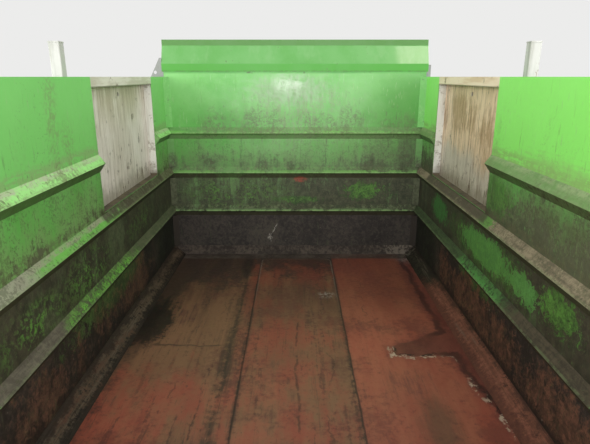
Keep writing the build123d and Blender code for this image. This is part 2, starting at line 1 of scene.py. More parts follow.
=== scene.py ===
"""Tipping refuse body: paints, welds, fittings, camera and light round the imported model."""

from functools import reduce
from math import cos, pi, radians, sin

import bmesh
import bpy
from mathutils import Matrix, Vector


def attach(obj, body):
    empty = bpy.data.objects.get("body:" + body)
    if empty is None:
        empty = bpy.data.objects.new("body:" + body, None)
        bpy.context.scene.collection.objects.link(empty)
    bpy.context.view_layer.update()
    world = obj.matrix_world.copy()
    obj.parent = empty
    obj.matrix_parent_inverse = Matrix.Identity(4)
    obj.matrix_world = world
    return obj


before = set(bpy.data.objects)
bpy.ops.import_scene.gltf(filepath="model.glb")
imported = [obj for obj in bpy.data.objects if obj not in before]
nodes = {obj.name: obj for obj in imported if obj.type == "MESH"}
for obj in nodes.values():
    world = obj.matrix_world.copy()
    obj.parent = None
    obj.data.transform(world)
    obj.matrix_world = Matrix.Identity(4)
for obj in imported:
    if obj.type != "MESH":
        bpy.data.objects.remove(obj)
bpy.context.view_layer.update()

# Heights and places that the paint follows, in metres
FLOOR = 0.2443
KICK_TOP = 0.2993
RIDGES = (0.5443, 0.7943, 1.0443)
RIM = 1.3843
WALL = 0.8
FRONT = 1.3235
COVER_LEFT, COVER_RIGHT, COVER_FRONT = -0.215, 0.232, 1.2135
STRIP_LEFT, STRIP_FRONT = -0.274, 0.9035
CHUTE_FOOT = -0.7265
ACROSS = 0.3    # a blot's half width across the sheet that it lies on


def screen(red, green, blue):
    """A colour written in screen values from 0 to 255, as shaders take it."""
    def part(value):
        value /= 255
        return value / 12.92 if value < 0.04045 else ((value + 0.055) / 1.055) ** 2.4
    return (part(red), part(green), part(blue), 1.0)


class Value:
    """What a node gives out. Arithmetic with it adds math nodes."""

    def __init__(self, paint, socket):
        self.paint, self.socket = paint, socket

    def __add__(self, other):
        return self.paint.math("ADD", self, other)

    def __sub__(self, other):
        return self.paint.math("SUBTRACT", self, other)

    def __rsub__(self, other):
        return self.paint.math("SUBTRACT", other, self)

    def __mul__(self, other):
        return self.paint.math("MULTIPLY", self, other)

    def __truediv__(self, other):
        return self.paint.math("DIVIDE", self, other)

    __radd__, __rmul__ = __add__, __mul__


class Paint:
    """A procedural material. Each method adds nodes and returns the value that carries the result.
    Places are in the object's own coordinates, in metres. Colours are screen values."""

    def __init__(self, name):
        self.material = bpy.data.materials.new(name)
        self.material.use_nodes = True
        self.tree = self.material.node_tree
        self.tree.nodes.clear()
        self.colour = None
        coords = self.node("TexCoord")
        self.place = coords.outputs["Object"]
        self.x, self.y, self.z = self.split(self.place)
        self.nx, self.ny, self.nz = self.split(coords.outputs["Normal"])

    def put(self, socket, value):
        if isinstance(value, Value):
            value = value.socket
        if isinstance(value, bpy.types.NodeSocket):
            self.tree.links.new(value, socket)
        else:
            socket.default_value = value

    def node(self, kind, **inputs):
        """A new node. Its inputs are given by name, with _ for a space."""
        node = self.tree.nodes.new("ShaderNode" + kind)
        for name, value in inputs.items():
            self.put(node.inputs[name.replace("_", " ")], value)
        return node

    def split(self, vector):
        return [Value(self, socket) for socket in self.node("SeparateXYZ", Vector=vector).outputs]

    def math(self, operation, *values):
        node = self.node("Math")
        node.operation = operation
        for socket, value in zip(node.inputs, values):
            self.put(socket, value)
        return Value(self, node.outputs[0])

    def most(self, *values):
        return reduce(lambda one, two: self.math("MAXIMUM", one, two), values)

    def least(self, *values):
        return reduce(lambda one, two: self.math("MINIMUM", one, two), values)

    def length(self, *values):
        """Length of the arrow with these components."""
        return self.math("SQRT", reduce(lambda one, two: one + two, [value * value for value in values]))

    def rise(self, value, low, high):
        """0 below low, 1 above high, smooth between; the other way round where low is above high."""
        turned = low > high
        node = self.node(
            "MapRange", Value=value, From_Min=min(low, high), From_Max=max(low, high),
            To_Min=float(turned), To_Max=float(not turned))
        node.interpolation_type = "SMOOTHSTEP"
        return Value(self, node.outputs["Result"])

    def spread(self, noise):
        """A noise stretched over nearly the whole range from 0 to 1."""
        return self.rise(noise, 0.42, 0.6)

    def band(self, value, low, high, soft):
        """1 between low and high, falling to 0 over the width soft outside."""
        return self.rise(value, low - soft, low) * self.rise(value, high + soft, high)

    def shifted(self, stretch, shift):
        return self.node("Mapping", Vector=self.place, Location=shift, Scale=stretch).outputs[0]

    def noise(self, scale, detail=5.0, rough=0.6, stretch=(1, 1, 1), shift=(0, 0, 0), twist=0.0):
        node = self.node(
            "TexNoise", Vector=self.shifted(stretch, shift), Scale=scale, Detail=detail, Roughness=rough,
            Distortion=twist)
        return Value(self, node.outputs[0])

    def cells(self, scale, stretch=(1, 1, 1), shift=(0, 0, 0)):
        """Distance to the nearest of scattered points."""
        node = self.node("TexVoronoi", Vector=self.shifted(stretch, shift), Scale=scale)
        return Value(self, node.outputs["Distance"])

    def blot(self, centre, size, ragged, soft=0.35):
        """A ragged patch round a point: 1 inside, 0 outside. size has its half width along each axis."""
        places = (self.x, self.y, self.z)
        across = [(value - middle) / half for value, middle, half in zip(places, centre, size)]
        return self.rise(self.length(*across) + ragged, 1.0 + soft, 1.0 - soft)

    def mix(self, first, second, share):
        """Two colours, each a value or a triple of screen values, mixed by a share of the second."""
        node = self.node("Mix")
        node.data_type = "RGBA"
        self.put(node.inputs[0], share)
        for socket, colour in zip(node.inputs[6:8], (first, second)):
            self.put(socket, screen(*colour) if isinstance(colour, tuple) else colour)
        return Value(self, node.outputs[2])

    def ramp(self, first, second, value, low, high):
        """From the first colour where value is at low to the second where it is at high."""
        return self.mix(first, second, self.rise(value, low, high))

    def lay(self, colour, share):
        """A further coat over the colour so far."""
        self.colour = self.mix(self.colour, colour, share)

    def dusty_top(self, rough):
        """Roughness, raised to that of dust where the surface faces up."""
        top = self.rise(self.nz, 0.6, 0.9)
        return rough * (1 - top) + top * 0.85

    def finish(
            self, rough, height=None, depth=0.001, metal=0.0, coat=0.0, coat_rough=0.18, strength=1.0,
            shine=0.5):
        """Joins colour, roughness and relief to the shader. depth is the relief's height in metres."""
        shader = self.node(
            "BsdfPrincipled", Base_Color=self.colour, Roughness=rough, Metallic=metal, Coat_Weight=coat,
            Specular_IOR_Level=shine, Coat_Roughness=coat_rough)
        if height is not None:
            bump = self.node("Bump", Strength=strength, Distance=depth, Height=height)
            self.put(shader.inputs["Normal"], bump.outputs[0])
        self.node("OutputMaterial", Surface=shader.outputs[0])
        return self.material


def ridge_bands(p, height, low, high, soft, ridges=RIDGES):
    """1 where the height lies between low and high, both counted from the tip of a ridge."""
    return p.most(*[p.band(height, tip + low, tip + high, soft) for tip in ridges])


def road_dirt(p, noise):
    """Dirt thrown up by the wheels, thicker towards the bottom."""
    return p.rise(p.rise(p.z, 1.45, 0.05) + (noise - 0.5) * 2.6, 0.42, 1.05)


def tub_walls(name, pressed):
    """Green walls, clean at the rim and blackened by refuse towards the floor. On the flat rear cheeks
    the black has no ridge to stop at and fades upwards."""
    p = Paint(name)
    right = p.rise(p.x, -0.02, 0.02)
    left = 1 - right
    inward = p.nx * p.math("SIGN", p.x) * -1.0 - p.ny
    inside = p.rise(inward, 0.05, 0.2)
    on_front = p.rise(p.ny * -1.0, 0.5, 0.7)
    on_side = 1 - on_front
    up_facet = p.rise(p.nz, 0.3, 0.45)
    down_facet = p.rise(p.nz, -0.3, -0.45)
    broad = p.noise(1.6, 3, 0.5)
    mid = p.noise(6.0, 6, 0.62)
    fine = p.noise(34.0, 6, 0.70)
    grit = p.noise(110.0, 4, 0.7)
    fall = p.noise(9.0, 7, 0.7, stretch=(1, 1, 0.16))
    hair = p.noise(60.0, 5, 0.65, stretch=(1, 1, 0.12))
    wisp = p.noise(19.0, 6, 0.72, twist=2.2)
    moss = p.noise(42.0, 6, 0.75, twist=1.2)
    smoke = p.noise(4.0, 8, 0.72, stretch=(1, 1, 0.55), shift=(1.0, 4.0, 2.0))
    level_streaks = p.noise(70.0, 6, 0.72, stretch=(0.09, 0.09, 1))
    tufts = p.rise(moss * 0.45 + wisp * 0.35 + mid * 0.2, 0.49, 0.56)
    patchy = mid * 0.2 + fine * 0.2 + fall * 0.22 + moss * 0.2 + hair * 0.18
    nicked = (mid - 0.5) * 1.6 + (wisp - 0.5) * 1.9 + (moss - 0.5) * 1.2 + (smoke - 0.5) * 1.0
    soft = 0.003 if pressed else 0.12
    level = p.z if pressed else p.z + (smoke - 0.5) * 0.5 + (wisp - 0.5) * 0.2
    top_band = p.rise(level, RIDGES[2] - soft, RIDGES[2] + soft)
    mid_band = p.band(level, RIDGES[1] + soft, RIDGES[2] - soft, soft)
    low_band = p.band(level, RIDGES[0] + soft, RIDGES[1] - soft, soft)
    foot_band = p.rise(level, RIDGES[0] + soft, RIDGES[0] - soft)
    mossy = (mid - 0.5) * 1.4 + (wisp - 0.5) * 2.6 + (moss - 0.5) * 2.6
    along = p.y + (mid - 0.5) * 0.4 + (wisp - 0.5) * 0.3

    # paint: a little faded in patches, and brighter on the side walls' upper band, most of all on the right
    # wall, where the brighter green is painted light
    green = p.mix((98, 180, 80), (124, 196, 106), p.spread(broad * 0.5 + mid * 0.3 + smoke * 0.2))
    green = p.mix(green, (84, 142, 70), on_front * p.rise(p.x, 0.25, 0.75) * 0.5)
    # painted light: a vivid, brighter green on the upper band of the side walls, mostly on the right wall,
    # for the light that falls there
    green = p.mix(green, (154, 248, 116), on_side * top_band * (right * 0.85 + left * 0.15))
    green = p.mix(green, (136, 218, 120), on_side * left * top_band * 0.7)
    green = p.ramp(green, p.mix((82, 150, 64), (126, 192, 98), on_side * left), p.z, 1.02, 0.6)

    # grime: how black the wall is, from its height
    rear_end = on_side * p.rise(p.y, 0.3, -0.45)
    mid_dirt = (0.13 + p.rise(p.z, 1.02, 0.8) * (0.24 + on_side * right * 0.1) + on_side * right * 0.09
        + rear_end * right * 0.08 - on_side * left * 0.04 + on_front * p.rise(p.x, 0.1, 0.7) * 0.06)
    low_dirt = 0.5 + p.rise(p.z, 0.78, 0.56) * 0.08 - on_front * left * 0.1 + on_side * 0.1
    low = p.rise(p.z, 1.4, 1.06) * 0.15 + mid_band * mid_dirt + low_band * low_dirt + foot_band
    hard_soot = p.spread(low + (patchy - 0.5) * 2.9)
    smudgy = mid * 0.25 + smoke * 0.35 + fall * 0.2 + fine * 0.2
    soft_soot = p.rise(low + (smudgy - 0.5) * 2.9, 0.32, 0.78)
    soften = on_front * mid_band * 0.6
    soot = hard_soot * (1 - soften) + soft_soot * soften
    film = p.rise(low + (fall * 0.35 + wisp * 0.35 + smoke * 0.3 - 0.5) * 1.7, 0.1, 0.6)
    p.colour = p.mix(green, p.mix((116, 132, 94), (134, 152, 106), on_side * left), film * 0.66)
    soot_colour = p.mix((52, 52, 41), (94, 95, 74), p.spread(fine * 0.4 + wisp * 0.3 + moss * 0.3))
    p.lay(soot_colour, soot * 0.88)
    mud = right * rear_end * p.rise(p.z, 1.03, 0.95) * p.rise(smoke + fine * 0.4, 0.52, 0.74)
    p.lay(p.ramp((62, 62, 46), (92, 92, 70), p.z, 0.76, 0.82), mud * 0.75)

    scrape = on_side * right * mid_band * p.rise(hair * 0.4 + wisp * 0.35 + fine * 0.25, 0.5, 0.58)
    p.lay((112, 134, 82), scrape * p.rise(p.y, 0.25, -0.2) * 0.5)

    # green kept in flakes in the black band: flat patches on the right, mossy ones on the left
    flat = p.most(
        p.blot((WALL, 0.82, 0.675), (ACROSS, 0.15, 0.062), nicked, 0.04),
        p.blot((WALL, 0.15, 0.68), (ACROSS, 0.27, 0.066), nicked, 0.04),
        p.blot((WALL, -0.24, 0.672), (ACROSS, 0.11, 0.05), nicked * 1.3, 0.06))
    grown = p.most(
        p.blot((WALL, -0.46, 0.7), (ACROSS, 0.12, 0.06), mossy * 1.3, 0.12) * 0.85,
        p.blot((WALL, 0.12, 0.665), (ACROSS, 0.42, 0.085), mossy * 1.2, 0.3) * 0.5,
        p.blot((WALL, 0.1, 0.93), (ACROSS, 0.16, 0.065), mossy * 1.2, 0.3) * 0.75,
        p.blot((-WALL, -0.04, 0.66), (ACROSS, 0.24, 0.105), mossy * 0.9, 0.5) * tufts * 0.95,
        p.blot((-WALL, -0.46, 0.645), (ACROSS, 0.24, 0.08), mossy * 0.9, 0.5) * tufts * 0.95,
        p.blot((-WALL, 0.62, 0.67), (ACROSS, 0.26, 0.08), mossy * 0.9, 0.5) * tufts * 0.5,
        on_front * p.blot((0.45, FRONT, 0.672), (0.11, ACROSS, 0.052), mossy * 1.5, 0.14),
        on_front * p.blot((0.02, FRONT, 0.615), (0.13, ACROSS, 0.018), mossy * 1.5, 0.3) * 0.8,
        on_front * p.blot((-0.4, FRONT, 0.665), (0.4, ACROSS, 0.11), mossy * 0.9, 0.5) * tufts * 0.8,
        on_side * left * p.blot((-WALL, 0.15, 0.475), (ACROSS, 0.42, 0.06), mossy, 0.12) * 0.7,
        on_side * right * p.blot((WALL, 0.22, 0.5), (ACROSS, 0.2, 0.03), mossy, 0.12) * 0.8)
    grown = p.most(grown, low_band * p.rise(wisp * 0.6 + moss * 0.4, 0.56, 0.62) * 0.36)
    flat_colour = p.ramp((64, 120, 58), (98, 162, 82), wisp * 0.8 + p.rise(p.y, 0.8, 0.3) * 0.5, 0.4, 0.9)
    flat_colour = p.mix(
        flat_colour, (50, 68, 42), p.rise(hair * 0.35 + moss * 0.35 + fine * 0.3, 0.52, 0.59) * 0.65)
    grown_colour = p.mix((52, 82, 36), (106, 172, 66), p.spread(moss * 0.5 + fine * 0.25 + mid * 0.25))
    gloom = p.ramp((36, 34, 27), (68, 63, 49), fine * 0.35 + wisp * 0.35 + smoke * 0.3, 0.42, 0.58)
    gloomy = low_band * p.rise(smoke + wisp * 0.3, 0.53, 0.67)
    p.lay(gloom, gloomy * (on_side * 0.85 + on_front * 0.34))
    p.lay(flat_colour, flat * 0.86)
    p.lay(grown_colour, grown * 0.85)

    # below the lowest ridge: black at the front end, red oxide through it towards the rear
    rugged = moss * 0.35 + fine * 0.3 + smoke * 0.35
    foot_colour = p.ramp((38, 34, 31), (74, 66, 60), rugged, 0.43, 0.58)
    foot_share = foot_band * (1 - grown * 0.8)
    p.lay(foot_colour, foot_share * p.rise(mid + on_front * 0.3, 0.22, 0.36) * 0.97)
    eaten = smoke * 0.55 + fine * 0.2 + moss * 0.25 + p.rise(p.z, 0.54, 0.4) * 0.08 - left * 0.02
    oxide = foot_band * on_side * p.rise(along, 0.86, 0.62) * p.rise(eaten, 0.5, 0.57)
    p.lay(p.ramp((80, 58, 45), (132, 88, 68), rugged, 0.46, 0.6), oxide * (0.62 + right * 0.26))
    tar = foot_band * on_side * p.rise(fall * 0.35 + wisp * 0.35 + moss * 0.3, 0.53, 0.57)
    p.lay((30, 27, 24), tar * 0.8)
    damp = foot_band * on_side * p.rise(along, 0.7, 1.0)
    p.lay(p.ramp((26, 26, 20), (44, 56, 34), wisp, 0.48, 0.62), damp * 0.85)

    # a black, ragged border of spilled dirt just above the foot strips
    crusty = p.z + (mid * 0.4 + wisp * 0.3 + moss * 0.3 - 0.5) * 0.34
    p.lay((33, 28, 25), on_side * p.rise(crusty, KICK_TOP + 0.045, KICK_TOP + 0.01) * 0.8)

    # ridges: dust lies on top, green shows at the tips
    facets = [up_facet * p.band(p.z, tip, tip + 0.037, 0.003) for tip in RIDGES]
    dusty = p.rise(fine * 0.2 + wisp * 0.25 + level_streaks * 0.35 + mid * 0.2, 0.42, 0.56)
    upper_half = [p.rise(p.z, tip + 0.014, tip + 0.026) for tip in RIDGES]
    top_facet = p.mix(
        p.mix((172, 240, 142), (94, 106, 70), right), p.mix((192, 192, 166), (140, 138, 112), right),
        dusty * (upper_half[2] * 0.9 + rear_end * 0.2 + right * 0.25))
    p.lay(top_facet, facets[2] * on_side * 0.82)
    p.lay(p.mix((90, 128, 72), (112, 140, 92), dusty), facets[2] * on_front * 0.55)
    second_dust = dusty * p.rise(smoke + upper_half[1] * 0.3, 0.5, 0.66)
    left_second = p.ramp(
        p.mix((112, 188, 78), (158, 160, 132), second_dust), (104, 104, 76), along, 0.16, 0.4)
    left_second = p.ramp(left_second, (154, 154, 132), along, -0.3, -0.5)
    right_second = p.mix((104, 94, 74), (150, 136, 110), dusty)
    right_second = p.mix(
        right_second, (92, 146, 60), p.blot((WALL, 0.14, 0.81), (ACROSS, 0.07, 0.03), nicked, 0.2) * 0.9)
    p.lay(p.mix(left_second, right_second, right), facets[1] * on_side * 0.9)
    spring = p.ramp((76, 116, 48), (118, 198, 70), moss, 0.44, 0.56)
    tip_side = p.rise(p.z + (wisp - 0.5) * 0.08, RIDGES[0] + 0.03, RIDGES[0] + 0.012)
    left_first = p.mix(
        p.mix((70, 84, 52), (96, 100, 72), dusty), spring,
        p.band(along, -0.16, 0.34, 0.22) * p.rise(fine + wisp, 0.86, 1.02) * (0.45 + tip_side * 0.55))
    left_first = p.ramp(left_first, p.mix((84, 78, 66), (114, 108, 92), dusty), along, -0.24, -0.38)
    right_first = p.mix(
        p.mix((50, 62, 36), (68, 88, 50), dusty), (84, 154, 70),
        p.band(along, 0.0, 0.3, 0.14) * p.rise(fine * 0.7 + wisp + moss * 0.3, 0.88, 1.06)
        * (0.45 + tip_side * 0.55))
    right_first = p.ramp(right_first, p.mix((58, 51, 37), (86, 76, 58), dusty), along, -0.08, -0.2)
    p.lay(p.mix(left_first, right_first, right), facets[0] * on_side * 0.92)
    p.lay((136, 152, 112), up_facet * on_front * p.rise(fine, 0.5, 0.62) * 0.3)
    tip_green = p.ramp((94, 118, 74), (120, 192, 88), p.z, 0.6, 0.9)
    near_tip = ridge_bands(p, p.z, 0.0, 0.012, 0.006)
    p.lay(tip_green, near_tip * up_facet * on_front * p.rise(mid + fine * 0.6, 0.7, 0.86) * 0.75)

    # the dust lies on above each ridge too, in a ragged border
    drift = p.z + (smoke * 0.4 + wisp * 0.3 + level_streaks * 0.3 - 0.5) * 0.16
    spread = on_side * (1 - (up_facet + down_facet)) * ridge_bands(p, drift, 0.02, 0.062, 0.02, RIDGES[1:])
    spread_colour = p.mix(
        p.mix((96, 98, 72), (150, 172, 120), top_band), p.mix((92, 88, 64), (136, 168, 98), top_band), right)
    p.lay(spread_colour, spread * p.rise(dusty, 0.1, 0.8) * 0.6)

    # undersides: painted shade just below each tip, with dirt in it, but under the front wall's top ridge a
    # pale tone as painted light; lower down on the front wall's undersides a dusty tone, pale green towards
    # the rim, that lightens them as painted light
    drop = ridge_bands(p, p.z, -0.04, -0.015, 0.006)
    under = p.mix((58, 64, 40), p.mix((70, 98, 56), (146, 176, 122), on_front), top_band)
    underside_shade_and_light_share = on_side * 0.7 + on_front * (1 - drop) * (0.45 + top_band * 0.35)
    p.lay(under, down_facet * p.rise(p.z, 0.5, 0.52) * underside_shade_and_light_share)
    front_underside_dust_and_light = p.ramp((84, 84, 62), (138, 164, 116), p.z, 0.8, 1.0)
    p.lay(front_underside_dust_and_light, down_facet * on_front * drop * (0.35 + dusty * 0.5))
    # painted highlight: a paler line along each ridge tip, with worn paint in it
    edge = ridge_bands(p, p.z, -0.002, 0.005, 0.003)
    tip_highlight_share = p.rise(fine + mid * 0.3, 0.52, 0.7) * (0.3 + on_front * 0.45)
    if pressed:
        p.lay(p.mix((128, 148, 100), (140, 180, 112), on_front), edge * tip_highlight_share)

    # dirt spilled over the hatch sill and below it
    sill = on_side * p.band(p.z, 0.806, 0.85, 0.012) * p.band(p.y, 0.15, 1.05, 0.03)
    p.lay((70, 62, 48), sill * p.rise(fine + mid * 0.5, 0.52, 0.72) * 0.85)

    # thin vertical scratches, chips, specks and runs, and a painted highlight on the front wall
    scratches = p.rise(hair, 0.6, 0.68) * (0.25 + p.rise(p.z, 1.36, 1.1) * 0.65)
    p.lay((78, 86, 60), scratches * 0.45)
    pale = p.rise(p.noise(70.0, 5, 0.65, stretch=(1, 1, 0.2), shift=(3.0, 1.0, 2.0)), 0.6, 0.68) * 0.35
    p.lay((164, 194, 144), pale * p.rise(p.z, 0.8, 1.1))
    crowd = p.rise(p.z, 1.34, 1.06) * 0.05 + mid_band * 0.04 + (smoke - 0.5) * 0.45
    speck = p.rise(grit * 0.45 + moss * 0.55 + crowd, 0.61, 0.65)
    on_clean = on_side * right * top_band
    p.lay((76, 80, 54), speck * (0.3 + on_side * 0.2 - on_clean * 0.3))
    grime_top = top_band * p.rise(p.rise(p.z, 1.2, 1.05) + (moss * 0.5 + smoke * 0.5 - 0.5) * 3.4, 0.95, 1.35)
    p.lay((112, 124, 78), grime_top * (0.7 - on_clean * 0.35))
    silt = p.rise(p.z, 1.24, 1.06) + (smoke * 0.6 + level_streaks * 0.4 - 0.5) * 2.6 + rear_end * 0.25
    p.lay((150, 184, 112), on_clean * p.rise(silt, 0.62, 1.25) * (1 - up_facet) * 0.6)
    run_place = p.most(
        p.band(p.y, -0.2, -0.16, 0.05), p.band(p.y, -0.12, -0.06, 0.05) * p.rise(p.z, 1.28, 1.18))
    runs = left * on_side * top_band * run_place * p.rise(fall * 0.25 + moss * 0.45 + wisp * 0.3, 0.47, 0.6)
    p.lay((132, 138, 100), runs * 0.58)
    rub_noise = (fine * 0.5 + smoke * 0.5 - 0.5) * 3.2
    rub = p.blot((0.03, FRONT, 1.17), (0.3, ACROSS, 0.18), rub_noise, 0.8)
    rub = rub * p.rise(hair * 0.4 + moss * 0.6, 0.45, 0.57)
    p.lay((142, 158, 122), rub * on_front * 0.66)
    scuffed = (on_front * top_band * p.rise(smoke + p.rise(p.z, 1.3, 1.06) * 0.18, 0.58, 0.72)
        * p.rise(moss * 0.7 + fall * 0.3, 0.42, 0.56))
    p.lay((104, 122, 82), scuffed * 0.68)
    # painted highlight: the paint is made greyer where the front lamp's glare falls, so that the glare looks
    # whiter
    painted_glare = p.blot((-0.04, FRONT, 1.31), (0.2, ACROSS, 0.08), (fine - 0.5) * 2.0, 0.6)
    p.lay((134, 160, 122), painted_glare * on_front * 0.55)
    ragged = (fine - 0.5) * 2.6 + (wisp - 0.5) * 2.4
    spot = p.blot((0.030, FRONT, 0.749), (0.042, ACROSS, 0.018), ragged, 0.35)
    p.lay(p.ramp((108, 72, 54), (164, 82, 62), moss, 0.4, 0.54), spot * 0.85)
    wobble = (wisp - 0.5) * 0.05 + (moss - 0.5) * 0.03
    slant = p.x - (p.z - 0.39) * 0.55 + wobble
    steep = p.x + (p.z - 0.36) * 0.15 + wobble
    splash = p.most(
        p.band(slant, -0.15, -0.147, 0.005) * p.band(p.z, 0.355, 0.435, 0.02),
        p.band(steep, -0.168, -0.166, 0.004) * p.band(p.z, 0.33, 0.375, 0.012),
        p.blot((-0.165, FRONT, 0.352), (0.016, ACROSS, 0.012), ragged * 0.8, 0.4) * 0.8)
    p.lay((176, 172, 160), splash * on_front * p.rise(moss * 0.6 + fine * 0.4, 0.42, 0.54) * 0.85)
    dots = foot_band * p.rise(p.cells(16.0), 0.07, 0.03) * p.rise(mid, 0.5, 0.6)
    p.lay((150, 144, 132), dots * 0.6)

    # outside: green paint with road dirt towards the bottom
    outside = p.mix((82, 164, 72), (100, 178, 86), p.spread(broad))
    road = road_dirt(p, smoke * 0.5 + patchy * 0.5)
    outside = p.mix(outside, (112, 112, 88), road * 0.75)
    runoff = p.rise(fall * 0.5 + hair * 0.5, 0.56, 0.64) * (0.25 + road * 0.75)
    outside = p.mix(outside, (74, 76, 54), runoff * 0.6)
    splatter = p.rise(p.z, 0.62, 0.26) * p.rise(grit * 0.5 + moss * 0.5, 0.5, 0.55)
    outside = p.mix(outside, (96, 84, 64), splatter * 0.8)
    outside = p.mix(outside, (84, 96, 62), p.rise(moss * 0.6 + grit * 0.4, 0.6, 0.66) * 0.6)
    p.colour = p.mix(outside, p.colour, inside)

    rough = 0.34 + soot * 0.3 + up_facet * 0.25 + (fine - 0.5) * 0.25 + rub * 0.1
    clean = top_band * (1 - soot) * (1 - up_facet) * (1 - grime_top) * p.rise(fine + hair * 0.4, 0.92, 0.62)
    height = broad * 3.0 + mid * 0.5 + fine * 0.1 + grit * 0.03 + soot * 0.05 + grown * 0.05
    shiny = 0.25 + p.blot((-0.04, FRONT, 1.31), (0.22, ACROSS, 0.09), (fine - 0.5) * 2.0, 0.6) * 0.3
    return p.finish(p.dusty_top(rough), height, depth=0.006, coat=clean * shiny, coat_rough=0.1, strength=0.6)


def headboard_paint():
    """Cleaner glossy green with a dusty film and pale runs."""
    p = Paint("headboard_glossy")
    broad = p.noise(2.2, 3, 0.5)
    fall = p.noise(14.0, 5, 0.6, stretch=(1, 1, 0.2))
    fine = p.noise(60.0, 5, 0.65)
    mid = p.noise(9.0, 5, 0.6)
    p.colour = p.ramp((96, 162, 82), (108, 170, 96), broad * 0.6 + mid * 0.4, 0.4, 0.6)
    p.lay((128, 178, 116), p.rise(fall, 0.5, 0.7) * 0.4)
    p.lay((76, 160, 54), p.rise(p.z, 1.463, 1.458) * 0.9)
    p.lay((80, 130, 60), p.rise(p.z, 1.564, 1.57) * 0.9)
    p.lay((82, 124, 62), p.rise(p.z, 1.428, 1.412) * p.rise(fine, 0.36, 0.56) * 0.8)
    chips = p.rise(fine + mid * 0.2, 0.76, 0.8)
    p.lay((92, 108, 72), chips * 0.6)
    behind = p.rise(p.ny, 0.1, 0.3)
    p.lay((96, 116, 82), behind * p.rise(mid, 0.45, 0.65) * 0.6)
    rough = 0.3 + p.rise(fall, 0.45, 0.65) * 0.1 + (fine - 0.5) * 0.06
    height = broad * 1.0 + fine * 0.02
    face = p.band(p.z, 1.462, 1.562, 0.003) * (1 - behind)
    return p.finish(
        p.dusty_top(rough), height, depth=0.002, coat=face * 0.5, coat_rough=0.07, strength=0.25, shine=0.3)


def outer_paint():
    """Rails and stiffeners outside: green with road dirt, worn at the edges."""
    p = Paint("outer_rails")
    broad = p.noise(3.0, 4, 0.5)
    mid = p.noise(16.0, 6, 0.65)
    fine = p.noise(90.0, 4, 0.7)
    fall = p.noise(26.0, 6, 0.7, stretch=(1, 1, 0.14))
    smoke = p.noise(4.0, 8, 0.72, stretch=(1, 1, 0.55), shift=(1.0, 4.0, 2.0))
    p.colour = p.ramp((82, 160, 70), (100, 176, 86), broad, 0.4, 0.6)
    road = road_dirt(p, smoke * 0.5 + mid * 0.5)
    p.lay((112, 110, 88), road * 0.78)
    p.lay((74, 76, 54), p.rise(fall * 0.6 + fine * 0.4, 0.56, 0.64) * (0.25 + road * 0.6) * 0.7)
    p.lay((98, 86, 64), p.rise(p.z, 0.5, 0.12) * p.rise(fine * 0.5 + mid * 0.5, 0.46, 0.54) * 0.7)
    p.lay((72, 62, 46), p.rise(mid + fine * 0.3, 0.76, 0.82) * 0.6)
    lying = p.rise(p.nz, 0.6, 0.9) * p.rise(mid * 0.5 + fine * 0.5, 0.42, 0.56)
    p.lay((120, 126, 96), lying * 0.6)
    rough = 0.36 + road * 0.3
    return p.finish(p.dusty_top(rough), mid * 0.4 + fine * 0.1, depth=0.0015, strength=0.6)


